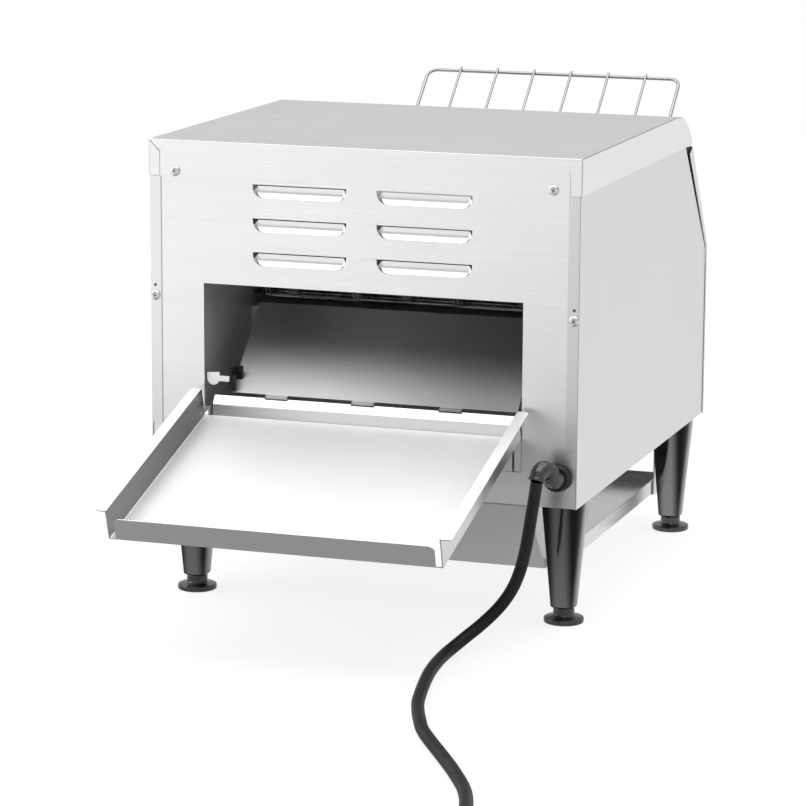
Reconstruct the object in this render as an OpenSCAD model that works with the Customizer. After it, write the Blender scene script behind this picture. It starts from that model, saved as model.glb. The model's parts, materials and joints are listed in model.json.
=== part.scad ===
// Counter-top conveyor toaster. Millimetres, +Z up, front (loading side) towards -Y, operator's right +X.
// Origin: on the surface it stands on, at the middle of the machine with its rack and trays.

/* [Body] */
// Width over the cover
body_w = 368; // [340:1:420]
// Depth of the casing
body_d = 418; // [400:1:450]
// Height of the cover over the floor
body_h = 387; // [370:1:410]
// Underside of the casing over the floor
leg_clear = 105; // [95:1:120]
// Thickness of the casing sheet
sheet_t = 1; // [0.8:0.1:1.2]
// Thickness of the base plate
base_t = 1.5; // [1:0.1:2]

/* [Cover and front] */
// Height of the cover's flanges
cover_flange_h = 30; // [24:1:34]
// Width of the folded corner flaps on the rear
corner_flap_w = 10; // [6:1:14]
// Cover's top down to the front corner under the feed mouth
front_edge_drop = 127; // [117:1:137]
// How far the sloped front leans back
front_slope_run = 62; // [50:1:70]
// Depth of the fascia's side returns at the top
fascia_return_top = 12.5; // [8:0.5:16]
// Depth of the fascia's side returns at the corner
fascia_return_low = 5; // [3:0.5:8]
// Border of sheet around the feed mouth
mouth_border = 10; // [8:1:14]

/* [Rear panel] */
// Sheet left between the chamber's walls and the sides of the delivery opening
opening_border = 1.5; // [1:0.5:8]
// Cover's top down to the top of the delivery opening
opening_drop = 117; // [107:1:125]
// Bottom of the delivery opening over the floor
opening_low = 132; // [126:1:140]
// Length of a louvre
louvre_w = 80.5; // [60:0.5:84]
// Height of a louvre
louvre_h = 11; // [8:0.5:14]
// Depth that a louvre is pressed in
louvre_deep = 4; // [3:0.5:6]
// Distance from one louvre row to the next
louvre_pitch = 27.8; // [22:0.2:30]
// Least height between the lowest louvres and the opening
louvre_low_gap = 17; // [8:1:20]
// Top row's upper edge under the cover's flange
louvre_top_gap = 3.4; // [2:0.2:8]
// Distance between the two louvre columns
louvre_column_gap = 26; // [20:1:40]

/* [Conveyor] */
// Width of the space beside the chamber, inside the casing's outer face
side_space = 46; // [42:1:47]
// Thickness of the chamber's sheet
wall_t = 1.2; // [1:0.1:1.5]
// Distance from the belt's edges to the chamber's walls
belt_side_gap = 12; // [10:1:23]
// Cover's top down to the belt's lower run
belt_drop = 146; // [141:1:149]
// Radius of the belt around its wheels
belt_r = 13; // [12:0.5:14]
// Position of the front belt wheels, forward of the middle
idler_back = 170; // [160:1:175]
// Position of the rear belt wheels, behind the middle
drive_back = 85; // [80:1:90]
// Radius of a belt rod
belt_rod_r = 1; // [0.8:0.1:1.2]
// Number of belt rods
belt_rods = 40; // [32:1:44]
// Radius of the two shafts
shaft_r = 5; // [4:0.5:6]
// Running clearance of a shaft in its bush
run_gap = 0.05; // [0.03:0.01:0.08]
// Gap between the belt wheels and the belt
wheel_gap = 0.6; // [0.4:0.1:1]

/* [Heating] */
// Radius of a quartz tube
quartz_r = 5; // [4:0.5:5.5]
// Upper quartz tubes over the belt's upper run
quartz_over = 33; // [31:1:37]
// Spacing of the quartz tubes
quartz_pitch = 70; // [60:1:74]
// Upper reflector over the upper quartz tubes
reflector_over = 18; // [14:1:24]

/* [Chain drive] */
// Pitch of the drive chain
chain_pitch = 6.35; // [6.35:0.01:6.35]
// Teeth on each chain wheel
chain_teeth = 16; // [12:4:16]
// Least lean of the chain from the vertical
chain_lean_least = 22; // [20:0.5:24]
// Height of the motor's shaft over the base plate
motor_up = 55.42; // [50:0.01:60]

/* [Diverter] */
// Length of the diverter plate
diverter_len = 94; // [85:1:96]
// Lean of the resting diverter from the horizontal
diverter_lean = 45; // [42:1:48]
// Gap between the diverter's lever end and the chamber's wall
diverter_lever_gap = 23; // [20:1:28]
// Gap between the diverter's other end and the chamber's wall
diverter_end_gap = 7; // [5:1:12]
// Height of the hinge line
hinge_z = 177.5; // [175:0.5:180]

/* [Outlet tray] */
// Length of the outlet tray's floor
tray_len = 206.5; // [180:0.5:230]
// Slope of the outlet tray
tray_tilt = 16.8; // [14:0.2:20]
// Height of the tray's side walls
tray_wall_h = 24; // [18:1:28]
// Width of the flanges on the side walls
tray_flange_w = 8.5; // [6:0.5:10]
// Height of the front lip
tray_lip_h = 17; // [12:1:18]
// Height of the floor's upper edge over the floor
tray_top_z = 160.7; // [158:0.1:163]

/* [Return tray] */
// Clearance between a leg and the straps that carry the return tray
hanger_leg_gap = 0.6; // [0.5:0.1:2]
// Height of the return tray's underside
return_z = 28; // [24:1:32]
// Height of its walls
return_wall_h = 13; // [10:1:16]
// How far it reaches in front of the casing
return_reach = 22; // [15:1:40]

/* [Feed rack] */
// Distance from the rack's sides to the planes of the chamber's walls
rack_side_gap = 13; // [11:1:23]
// Length of the feed rack down its slope
rack_len = 190; // [175:1:200]
// Slope of the feed rack
rack_tilt = 42.3; // [40:0.1:45]
// How far the rack's lower end lies inside the feed mouth
rack_in = 14.5; // [12:0.1:16]
// Height of the rack's lower end over the front corner
rack_up = 5.5; // [5:0.1:8]
// Radius of the frame wire
rack_frame_r = 1.6; // [1.5:0.1:2]
// Radius of the inner wires
rack_wire_r = 1.2; // [1:0.1:1.5]
// Spacing of the inner wires
rack_wire_pitch = 36.3; // [30:0.1:38]

/* [Legs and feet] */
// Distance of a leg's axis from the casing's side
leg_inset_x = 22.5; // [21:0.5:26]
// Distance of a rear leg's axis from the rear
leg_inset_rear = 44; // [40:1:50]
// Distance of a front leg's axis from the front
leg_inset_front = 26; // [24:1:40]
// Width of a leg at the top
leg_top_w = 37; // [32:1:38]
// Width of a leg at the bottom
leg_low_w = 21; // [19:1:26]
// Diameter of a levelling foot's pad
pad_d = 33; // [28:1:38]
// Thickness of the pad
pad_h = 5; // [4:0.5:7]
// Diameter of the foot's neck
neck_d = 17.5; // [15:0.5:18]
// Height of the neck
neck_h = 8; // [6:0.5:10]
// Radius of the foot's stud
stud_r = 4; // [3:0.5:5]

/* [Controls] */
// Front corner down to the controls' axes
control_drop = 70; // [60:1:76]
// Spacing of the controls along the front panel
control_pitch = 62; // [55:1:66]
// Diameter of a knob
knob_d = 38; // [30:1:42]
// Depth of a knob
knob_h = 19; // [15:1:24]
// Radius of a control's spindle
spindle_r = 3; // [2.5:0.1:3.5]

/* [Mains lead] */
// Diameter of the lead
cord_d = 10; // [10:0.1:10]
// Distance of the gland from the casing's side
gland_inset = 16; // [15:1:18]
// Height of the gland over the floor
gland_z = 131; // [127:1:134]
// Radius of the gland's thread
gland_r = 9; // [8:0.5:10]

/* [Hidden] */
half_w = body_w / 2;
rear_y = body_d / 2;
front_y = -body_d / 2;
inner_y = rear_y - 2 * sheet_t;
panel_y = rear_y - sheet_t;
skin_x = half_w - sheet_t;
casing_x = half_w - 2 * sheet_t;
base_top = leg_clear + base_t;
chamber_x = half_w - side_space;
side_room_x = (chamber_x + wall_t + casing_x) / 2;
gap = 0.3;

// Front slope and the cover's roll, which ends tangent to it
front_edge_h = body_h - front_edge_drop;
cover_edge_z = body_h - cover_flange_h;
cover_edge_y = front_y + front_slope_run;
slope_rise = cover_edge_z - front_edge_h;
slope_len = sqrt(front_slope_run * front_slope_run + slope_rise * slope_rise);
slope_angle = atan2(slope_rise, front_slope_run);
roll_r = cover_flange_h / (1 - cos(slope_angle));
roll_y = cover_edge_y + roll_r * sin(slope_angle);
roll_z = body_h - roll_r;
slope_top = [cover_edge_y, cover_edge_z];
slope_low = [front_y, front_edge_h];
slope_down = [-cos(slope_angle), -sin(slope_angle)];
slope_in = [sin(slope_angle), -cos(slope_angle)];
flap_gap = 0.6;
fascia_seam = 0.8;
fascia_skirt = 15;
skirt_z = front_edge_h - fascia_skirt;
control_z = front_edge_h - control_drop;

// Delivery opening and louvres
opening_w = 2 * (chamber_x - opening_border);
opening_top = body_h - opening_drop;
louvre_room = cover_edge_z - louvre_top_gap - louvre_h - louvre_low_gap - opening_top;
louvre_rows = 1 + floor(louvre_room / louvre_pitch + 0.01);

// Screws
screw_r = 2;
screw_head_r = 4.3;
cover_screw_x = half_w - 23.3;
cover_screw_z = cover_edge_z + 4.5;
side_screw_x = half_w - 5;
side_screw_z = opening_top - 12;
side_flange_w = 10.5;
side_flange_z = 151;

// Conveyor
belt_w = 2 * (chamber_x - belt_side_gap);
belt_low_z = body_h - belt_drop;
belt_mid_z = belt_low_z + belt_r;
drive_y = drive_back;
idler_y = -idler_back;
belt_span = drive_y - idler_y;
belt_len = 2 * belt_span + 2 * PI * belt_r;
belt_wheel_r = belt_r - belt_rod_r - wheel_gap;
belt_wheel_t = 8;
belt_step_x = 44.5;
belt_strand_x = [belt_w / 2 - 3, belt_step_x];
belt_wheel_x = [-belt_w / 2 + 24, -belt_step_x, 0, belt_step_x, belt_w / 2 - 24];
bush_r = 8;
bush_flange_r = 11;
shaft_left_x = -chamber_x - 9;
chain_x = side_room_x - 9;
shaft_right_x = chain_x + 7;

// Heating
upper_quartz_z = belt_mid_z + belt_r + quartz_over;
reflector_z = upper_quartz_z + reflector_over;
reflector_reach = 22;
terminal_in = 101.5;
terminal_pitch = 12.5;
reflector_wing = 16;
wall_top = reflector_z + 34;
thermostat_z = belt_mid_z + 28;
quartz_half = chamber_x + 13;
quartz_wall = 1;
quartz_gap = 0.6;
cap_r = 8;
cap_len = 17;
upper_quartz_y = [for (i = [-1:1]) i * quartz_pitch - 20];
lower_quartz_y = [for (i = [-1:1]) i * quartz_pitch - 40];
lower_quartz_z = belt_mid_z + 1;
shield_z = belt_low_z - 9;
partition_y = drive_y + belt_r - 3;
exit_y0 = partition_y + 5;
exit_y1 = inner_y - 4;

// Chain
chain_r = chain_pitch / 2 / sin(180 / chain_teeth);
roller_r = 1.65;
chain_gap_r = roller_r + 0.25;
tooth_h = 1.6;
tooth_gap_top = 2.7;
wheel_t = 2.6;
chain_plate_t = 0.8;
chain_inside = wheel_t + 0.8;
motor_z = base_top + motor_up;
chain_run = ceil((belt_mid_z - motor_z) / chain_pitch / cos(chain_lean_least));
chain_dist = chain_run * chain_pitch;
chain_lean = acos((belt_mid_z - motor_z) / chain_dist);
motor_y = drive_y - chain_dist * sin(chain_lean);
motor_shaft_r = 4;
gearbox_size = [46, 56, 56];
bracket_t = 3;
motor_can_r = 27;
motor_can_len = 52;

// Fan, board and terminals
fan_size = 80;
fan_t = 25;
fan_duct_r = 38;
fan_hub_r = 14;
fan_blades = 7;
fan_pos = [-62, -62];
blade_tip_r = 36;
blade_w = 14;
blade_t = 1.4;
board_lo = [58, -190];
board_size = [66, 62];
board_z = base_top + 8;

// Diverter and sill
diverter_left = chamber_x - diverter_lever_gap;
diverter_right = chamber_x - diverter_end_gap;
hinge_y = rear_y - 6.5;
hinge_r = 1.5;
hinge_tab_w = 19;
hinge_tab_x = 75;
sill_half = opening_w / 2 - 7.5;
sill_out_y = panel_y + 0.6;
sill_fold_z = hinge_z - 8;
diverter_t = 1;
stop_r = 3;
stop_along = 60;
stop_off = diverter_t / 2 + stop_r + gap;
stop_y = hinge_y - stop_along * cos(diverter_lean) - stop_off * sin(diverter_lean);
stop_z = hinge_z + stop_along * sin(diverter_lean) - stop_off * cos(diverter_lean);
stop_over = 6;
lever_reach = 20.5;
lever_tab_r = 5.5;

// Outlet tray
tray_half = opening_w / 2;
tray_y = rear_y + 0.8;
tray_lip_half = tray_half - 6;
hook_x0 = sill_half + 1.2;
hook_x1 = tray_half - 0.8;
hook_in_y = inner_y - 1.6;
hook_sink = 9;
hook_over = 7;
hook_low_z = opening_low - hook_sink;
pocket_gap = 0.5;
tray_front_y = tray_y + tray_len * cos(tray_tilt) + tray_wall_h * sin(tray_tilt);

// Return tray and chute
leg_x = half_w - leg_inset_x;
hanger_t = 1.2;
hanger_gap = 0.7;
return_half = leg_x - leg_top_w / 2 - hanger_leg_gap - hanger_t - hanger_gap;
return_floor = return_z + 1;
return_front_y = front_y - return_reach;
return_rear_y = 95;
chute_half_top = return_half + 1;
chute_half_low = return_half - 9;
chute_low_y = 118;
chute_low_z = return_floor + 3;
chute_foot = 30;
hanger_w = 12;
hanger_foot = 14;
hanger_rear_y = 50;
hanger_front_y = front_y + 1;

// Feed rack
rack_w = 2 * (chamber_x - rack_side_gap);
rack_top_y = front_y + rack_in - rack_len * cos(rack_tilt);
rack_top_z = front_edge_h + rack_up + rack_len * sin(rack_tilt);
rack_corner_r = 9;
rack_half = rack_w / 2 - rack_frame_r;
rack_wires = 6;
rack_wire_over = 2.5;
rack_front_y = rack_top_y - rack_frame_r;
rack_bar_up = 114;
rack_bar = rack_len - rack_bar_up;
rack_bar_y = rack_top_y + rack_bar * cos(rack_tilt);
rack_bar_z = rack_top_z - rack_bar * sin(rack_tilt);
rack_arm_x = rack_w / 2 - 14;
rack_arm_t = 2;
rack_arm_w = 12;
rack_arm_base = 14;

// Legs and feet
leg_low_z = pad_h + neck_h + 0.5;
leg_top_z = leg_clear - 1;
leg_points = [
    [leg_x, rear_y - leg_inset_rear],
    [-leg_x, rear_y - leg_inset_rear],
    [leg_x, front_y + leg_inset_front],
    [-leg_x, front_y + leg_inset_front]
];
stud_len = 30;

// Controls, left to right as the operator sees them
rocker_x = -1.5 * control_pitch;
lamp_x = -0.6 * control_pitch;
heat_x = 0.45 * control_pitch;
speed_x = 1.55 * control_pitch;
knob_gap = 1;
knob_y = front_y - knob_gap;
pot_r = 12;
pot_len = 16;
switch_w = 30;
bushing_r = 4.7;
rocker_w = 18;
rocker_len = 21;
rocker_tilt = 12;
rocker_gap = 0.5;
rocker_pivot_y = front_y + 6;
rocker_room = rocker_len / 2 + 2.2;

// The mains lead: from the strain relief down to the floor, along it, and into a coil
cord_r = cord_d / 2;
gland_x = half_w - gland_inset;
floor_z = cord_r + 0.1;
relief_y = rear_y + 9;
relief_route = [
    [-gland_x, relief_y, gland_z], [-gland_x + 1.3, relief_y + 3.9, gland_z + 1.9],
    [-gland_x + 2.5, relief_y + 7.4, gland_z + 5.3], [-gland_x + 3.9, relief_y + 11.3, gland_z + 9.3],
    [-gland_x + 5.6, relief_y + 16.6, gland_z + 10.6], [-gland_x + 7.3, relief_y + 21.6, gland_z + 8],
    [-gland_x + 8.2, relief_y + 24.2, gland_z + 2.4]
];
relief_r0 = 8.6;
relief_r1 = 6.6;
relief_end = relief_route[len(relief_route) - 1];
cord_route = [
    relief_end, [-158.2, 243, 120], [-156.3, 244, 106], [-154.6, 245.5, 92], [-152.6, 248, 77],
    [-149.7, 252, 62], [-144.9, 257, 48], [-137.1, 264, 35], [-126.3, 273, 23],
    [-115.8, 284, 13.5], [-109.5, 297, 7.8], [-107, 312, floor_z + 0.3], [-108, 333, floor_z],
    [-111.3, 361, floor_z], [-117.5, 394, floor_z], [-127.6, 438, floor_z],
    [-136, 464, floor_z], [-145, 487, floor_z], [-155, 510, floor_z], [-170, 536, floor_z],
    [-189, 567, floor_z], [-209, 601, floor_z], [-229, 640, floor_z], [-243, 684, floor_z],
    [-251, 736, floor_z], [-252, 772, floor_z]
];
cord_smooth = 2;
coil_mid_r = 50;
coil_turns_wide = 2;
coil_turns_high = 2;
coil_centre = [-202, 792];
coil_in_r = coil_mid_r - coil_turns_wide * cord_r - 0.5;
coil_out_r = coil_mid_r + coil_turns_wide * cord_r + 0.5;
coil_h = coil_turns_high * cord_d + 1;
plug_r = 20;
plug_len = 36;
plug_neck_len = 26;
plug_lie = [-176, 848];

// The machine is centred between the rack's front and the outlet tray's end
origin_y = (rack_front_y + tray_front_y) / 2;

$fn = 48;

// ---- helpers ----

// A box given by its ranges along X, Y and Z
module block(x, y, z) {
    translate([x[0], y[0], z[0]])
        cube([x[1] - x[0], y[1] - y[0], z[1] - z[0]]);
}

// A 2D shape in the YZ plane, extruded from x0 to x1
module along_x(x0, x1) {
    translate([x0, 0, 0])
        rotate([90, 0, 90])
            linear_extrude(x1 - x0)
                children();
}

// A 2D shape in the XZ plane, extruded from y0 to y1
module along_y(y0, y1) {
    translate([0, y1, 0])
        rotate([90, 0, 0])
            linear_extrude(y1 - y0)
                children();
}

// Round bars along each axis
module bar_x(y, z, r, x0, x1) {
    translate([x0, y, z])
        rotate([0, 90, 0])
            cylinder(r = r, h = x1 - x0);
}

module bar_y(x, z, r, y0, y1) {
    translate([x, y0, z])
        rotate([-90, 0, 0])
            cylinder(r = r, h = y1 - y0);
}

module bar_z(x, y, r, z0, z1) {
    translate([x, y, z0])
        cylinder(r = r, h = z1 - z0);
}

module both_sides() {
    children();
    mirror([1, 0, 0])
        children();
}

module place() {
    translate([0, -origin_y, 0])
        children();
}

// A 2D bar of width w from a to b
module strip(a, b, w) {
    run = b - a;
    translate(a)
        rotate(atan2(run[1], run[0]))
            square([norm(run), w]);
}

// A 2D closed track around the two belt axes
module belt_track(r) {
    translate([idler_y, belt_mid_z])
        circle(r = r);
    translate([drive_y, belt_mid_z])
        circle(r = r);
    translate([idler_y, belt_mid_z - r])
        square([belt_span, 2 * r]);
}

// Catmull-Rom points through a route, n steps to each stretch
function route_at(p, i) = p[max(0, min(len(p) - 1, i))];
function spline_point(a, b, c, d, t) =
    0.5 * (2 * b + (c - a) * t + (2 * a - 5 * b + 4 * c - d) * t * t
    + (3 * b - a - 3 * c + d) * t * t * t);
function smooth_route(p, n) = [
    for (i = [0:len(p) - 2])
        for (k = [0:n - 1])
            spline_point(route_at(p, i - 1), p[i], p[i + 1], route_at(p, i + 2), k / n),
    p[len(p) - 1]
];
function unit(v) = v / norm(v);
function heading(p, i) = unit(route_at(p, i + 1) - route_at(p, i - 1));

// A tube swept along points, with a radius at each end and rings square to the run
module tube(points, r0, r1, sides) {
    count = len(points);
    rings = [
        for (i = [0:count - 1])
            let (
                t = heading(points, i),
                u = unit(cross(t, [1, 0.2, 0.1])),
                v = cross(t, u),
                r = r0 + (r1 - r0) * i / (count - 1)
            )
            for (k = [0:sides - 1])
                points[i] + r * (cos(360 * k / sides) * u + sin(360 * k / sides) * v)
    ];
    quads = [
        for (i = [0:count - 2])
            for (k = [0:sides - 1])
                let (n = (k + 1) % sides)
                [i * sides + k, (i + 1) * sides + k, (i + 1) * sides + n, i * sides + n]
    ];
    start = [for (k = [0:sides - 1]) k];
    end = [for (k = [0:sides - 1]) (count - 1) * sides + (sides - 1 - k)];
    polyhedron(points = rings, faces = concat([start], quads, [end]));
}

// ---- casing ----

// The cover seen from the side, made smaller by a sheet's thickness where asked
module cover_outline(inset) {
    intersection() {
        union() {
            translate([roll_y, roll_z])
                circle(r = roll_r - inset, $fn = 96);
            translate([roll_y, roll_z])
                square([rear_y - inset - roll_y, roll_r - inset]);
        }
        translate([front_y, cover_edge_z])
            square([body_d, body_h]);
    }
}

module top_cover() {
    color("silver")
    difference() {
        union() {
            along_x(-half_w, half_w)
                difference() {
                    cover_outline(0);
                    cover_outline(sheet_t);
                }
            both_sides()
                along_x(skin_x, half_w)
                    cover_outline(0);
        }
        both_sides() {
            block([half_w - corner_flap_w, half_w - corner_flap_w + flap_gap],
                [panel_y - 1, rear_y + 1], [cover_edge_z - 1, body_h - corner_flap_w]);
            along_y(panel_y - 1, rear_y + 1)
                strip([half_w - corner_flap_w, body_h - corner_flap_w - flap_gap],
                    [half_w - sheet_t, body_h - sheet_t - flap_gap], flap_gap);
            bar_y(cover_screw_x, cover_screw_z, screw_r, panel_y - 1, rear_y + 1);
        }
    }
}

module side_panel() {
    front_top = slope_top + (fascia_return_top + 4.5) * slope_in;
    front_low = slope_low + (fascia_return_low + 0.8) * slope_in;
    under_cover = cover_edge_z + 12;
    lean = (front_top[0] - front_low[0]) / (front_top[1] - front_low[1]);
    difference() {
        union() {
            along_x(casing_x, skin_x)
                polygon([
                    [rear_y, leg_clear],
                    [front_y + 4, leg_clear],
                    [front_y + 4, front_low[1]],
                    front_low,
                    [front_top[0] + lean * (under_cover - front_top[1]), under_cover],
                    [rear_y - 2 * sheet_t, under_cover],
                    [rear_y - 2 * sheet_t, cover_edge_z - gap],
                    [rear_y, cover_edge_z - gap]
                ]);
            block([half_w - side_flange_w, skin_x], [panel_y, rear_y],
                [side_flange_z, cover_edge_z - gap]);
        }
        bar_y(side_screw_x, side_screw_z, screw_r, panel_y - 1, rear_y + 1);
    }
}

module side_panel_right() {
    color("gainsboro")
    side_panel();
}

module side_panel_left() {
    color("gainsboro")
    mirror([1, 0, 0])
        side_panel();
}

function louvre_x(column) = column * (louvre_column_gap + louvre_w) / 2;
function louvre_z(row) = cover_edge_z - louvre_top_gap - row * louvre_pitch;

// A louvre pressed inwards, open along its top edge
module louvre_scoop() {
    ramp = 3;
    low = -louvre_h;
    along_x(-louvre_w / 2, louvre_w / 2)
        polygon([
            [panel_y, low], [panel_y - louvre_deep, low + ramp], [panel_y - louvre_deep, 0],
            [panel_y - louvre_deep - sheet_t, 0],
            [panel_y - louvre_deep - sheet_t, low + ramp - 0.5], [inner_y, low - 0.5],
            [panel_y, low - 0.5]
        ]);
    for (end = [-1, 1])
        translate([end * (louvre_w / 2 - sheet_t / 2), 0, 0])
            along_x(-sheet_t / 2, sheet_t / 2)
                polygon([
                    [panel_y, low], [panel_y, 0], [panel_y - louvre_deep - sheet_t, 0],
                    [panel_y - louvre_deep - sheet_t, low + ramp - 0.5], [inner_y, low - 0.5]
                ]);
}

module rear_panel() {
    color("lightgray") {
        difference() {
            block([-casing_x, casing_x], [inner_y, panel_y], [base_top, cover_edge_z + 14]);
            block([-opening_w / 2, opening_w / 2], [inner_y - 1, rear_y],
                [opening_low, opening_top]);
            for (column = [-1, 1], row = [0:louvre_rows - 1])
                translate([louvre_x(column), 0, louvre_z(row)])
                    block([-louvre_w / 2, louvre_w / 2], [inner_y - 1, rear_y], [-louvre_h, 0]);
            bar_y(-gland_x, gland_z, gland_r + 0.1, inner_y - 1, rear_y);
            both_sides() {
                bar_y(cover_screw_x, cover_screw_z, screw_r, inner_y - 1, rear_y);
                bar_y(side_screw_x, side_screw_z, screw_r, inner_y - 1, rear_y);
            }
        }
        for (column = [-1, 1], row = [0:louvre_rows - 1])
            translate([louvre_x(column), 0, louvre_z(row)])
                louvre_scoop();
    }
}

// Sloped frame around the feed mouth, with its skirt and side returns
module front_fascia() {
    top = slope_top + fascia_seam * slope_down;
    inner_corner = [front_y + sheet_t, front_edge_h - sheet_t * tan((90 - slope_angle) / 2)];
    color("gainsboro")
    difference() {
        union() {
            along_x(-half_w, half_w)
                polygon([
                    top, slope_low, [front_y, skirt_z], [front_y + sheet_t, skirt_z],
                    inner_corner, top + sheet_t * slope_in
                ]);
            along_x(-casing_x, casing_x)
                polygon([
                    top, top + 8 * slope_in, top + 8 * slope_in + sheet_t * slope_down,
                    top + sheet_t * slope_down
                ]);
            both_sides()
                along_x(skin_x, half_w)
                    polygon([
                        top, slope_low, [front_y, skirt_z], [front_y + 3, skirt_z],
                        slope_low + fascia_return_low * slope_in,
                        top + fascia_return_top * slope_in
                    ]);
        }
        translate([0, slope_top[0], slope_top[1]])
            rotate([slope_angle - 90, 0, 0])
                block([-chamber_x, chamber_x], [-10, 6],
                    [-slope_len + mouth_border, -mouth_border - fascia_seam]);
    }
}

module front_panel() {
    color("gainsboro")
    difference() {
        union() {
            block([-half_w, half_w], [front_y, front_y + sheet_t], [leg_clear, skirt_z - 0.6]);
            both_sides()
                block([skin_x, half_w], [front_y, front_y + 3], [leg_clear, skirt_z - 0.6]);
        }
        for (x = [speed_x, heat_x])
            bar_y(x, control_z, bushing_r + 0.2, front_y - 1, front_y + 2);
        bar_y(lamp_x, control_z, 5.1, front_y - 1, front_y + 2);
        block([rocker_x - 11.2, rocker_x + 11.2], [front_y - 1, front_y + 2],
            [control_z - 14.7, control_z + 14.7]);
    }
}

module base_plate() {
    slot_w = 5;
    slot_pitch = 9;
    color("silver")
    difference() {
        block([-casing_x, casing_x], [front_y + sheet_t + gap, inner_y], [leg_clear, base_top]);
        block([-chamber_x + 4, chamber_x - 4], [exit_y0, exit_y1], [leg_clear - 1, base_top + 1]);
        for (p = leg_points)
            bar_z(p[0], p[1], 3.2, leg_clear - 1, base_top + 1);
        for (i = [-3:3]) {
            half = sqrt(pow(fan_duct_r - 3, 2) - pow(i * slot_pitch, 2));
            block([fan_pos[0] - half, fan_pos[0] + half],
                [fan_pos[1] + i * slot_pitch - slot_w / 2, fan_pos[1] + i * slot_pitch + slot_w / 2],
                [leg_clear - 1, base_top + 1]);
        }
    }
}

// ---- toasting chamber ----

module inner_wall() {
    front = slope_in * 4;
    slope_y = slope_top[0] - (slope_top[1] - wall_top) / tan(slope_angle);
    difference() {
        along_x(chamber_x, chamber_x + wall_t)
            polygon([
                [inner_y - gap, base_top], [inner_y - gap, wall_top], [slope_y + front[0], wall_top],
                slope_low + front, [front_y + 3, base_top]
            ]);
        for (y = [drive_y, idler_y])
            bar_x(y, belt_mid_z, bush_r, 0, half_w);
        for (y = upper_quartz_y)
            bar_x(y, upper_quartz_z, quartz_r + quartz_gap, 0, half_w);
        for (y = lower_quartz_y)
            bar_x(y, lower_quartz_z, quartz_r + quartz_gap, 0, half_w);
    }
}

module inner_wall_right() {
    color("silver")
    difference() {
        inner_wall();
        bar_x(motor_y, motor_z, motor_shaft_r + 3, 0, half_w);
    }
}

// Its pin carries the diverter at rest
module inner_wall_left() {
    color("silver")
    mirror([1, 0, 0]) {
        inner_wall();
        bar_x(stop_y, stop_z, stop_r, diverter_right - stop_over, chamber_x);
    }
}

// Wall between the drop space and the compartment of the drive
module partition_plate() {
    color("silver") {
        block([-chamber_x, chamber_x], [partition_y, partition_y + wall_t], [base_top, shield_z]);
        block([-chamber_x, chamber_x], [partition_y - 10, partition_y],
            [base_top, base_top + wall_t]);
    }
}

// Floor of the chamber under the belt
module heat_shield() {
    color("silver")
    block([-chamber_x, chamber_x], [front_y + 8, partition_y + wall_t],
        [shield_z, shield_z + wall_t]);
}

module upper_reflector() {
    wing = reflector_wing;
    lo = upper_quartz_y[0] - reflector_reach;
    hi = upper_quartz_y[2] + reflector_reach;
    color("gainsboro")
    along_x(-chamber_x, chamber_x)
        polygon([
            [lo - wing, reflector_z - wing], [lo, reflector_z], [hi, reflector_z],
            [hi + wing, reflector_z - wing], [hi + wing + wall_t, reflector_z - wing],
            [hi + wall_t / 2, reflector_z + wall_t], [lo - wall_t / 2, reflector_z + wall_t],
            [lo - wing - wall_t, reflector_z - wing]
        ]);
}

module lower_reflector() {
    z = belt_low_z + belt_rod_r + 2.5;
    color("gainsboro") {
        block([-chamber_x, chamber_x], [lower_quartz_y[0] - 30, lower_quartz_y[2] + 30],
            [z, z + 1]);
        for (y = [lower_quartz_y[0] - 30, lower_quartz_y[2] + 29])
            block([-chamber_x, chamber_x], [y, y + 1], [z, z + 8]);
    }
}

module quartz_tube(y, z) {
    difference() {
        bar_x(y, z, quartz_r, -quartz_half, quartz_half);
        bar_x(y, z, quartz_r - quartz_wall, -quartz_half - 1, quartz_half + 1);
    }
}

module upper_quartz_tubes() {
    color("linen")
    for (y = upper_quartz_y)
        quartz_tube(y, upper_quartz_z);
}

module lower_quartz_tubes() {
    color("linen")
    for (y = lower_quartz_y)
        quartz_tube(y, lower_quartz_z);
}

// A cap with a socket for the tube and a terminal pin at its outer end
module ceramic_cap(y, z) {
    x0 = chamber_x + wall_t;
    difference() {
        union() {
            bar_x(y, z, cap_r, x0, x0 + cap_len);
            bar_x(y, z, 1.5, x0 + cap_len, x0 + cap_len + 8);
        }
        bar_x(y, z, quartz_r + run_gap, x0 - 1, quartz_half + 0.5);
    }
}

module ceramic_end_caps() {
    color("ivory")
    both_sides() {
        for (y = upper_quartz_y)
            ceramic_cap(y, upper_quartz_z);
        for (y = lower_quartz_y)
            ceramic_cap(y, lower_quartz_z);
    }
}

// ---- conveyor ----

module drive_shaft() {
    color("gray")
    bar_x(drive_y, belt_mid_z, shaft_r, shaft_left_x, shaft_right_x);
}

module idler_shaft() {
    color("gray")
    bar_x(idler_y, belt_mid_z, shaft_r, shaft_left_x, -shaft_left_x);
}

// Wheels inside the belt loop, notched for its rods
module belt_wheels(y) {
    for (x = belt_wheel_x)
        difference() {
            bar_x(y, belt_mid_z, belt_wheel_r, x - belt_wheel_t / 2, x + belt_wheel_t / 2);
            bar_x(y, belt_mid_z, shaft_r, x - belt_wheel_t, x + belt_wheel_t);
            for (k = [0:7])
                translate([x, y, belt_mid_z])
                    rotate([45 * k, 0, 0])
                        bar_x(0, belt_wheel_r + 0.6, 1.4, -belt_wheel_t, belt_wheel_t);
        }
}

module drive_belt_wheels() {
    color("dimgray")
    belt_wheels(drive_y);
}

module idler_belt_wheels() {
    color("dimgray")
    belt_wheels(idler_y);
}

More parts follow.
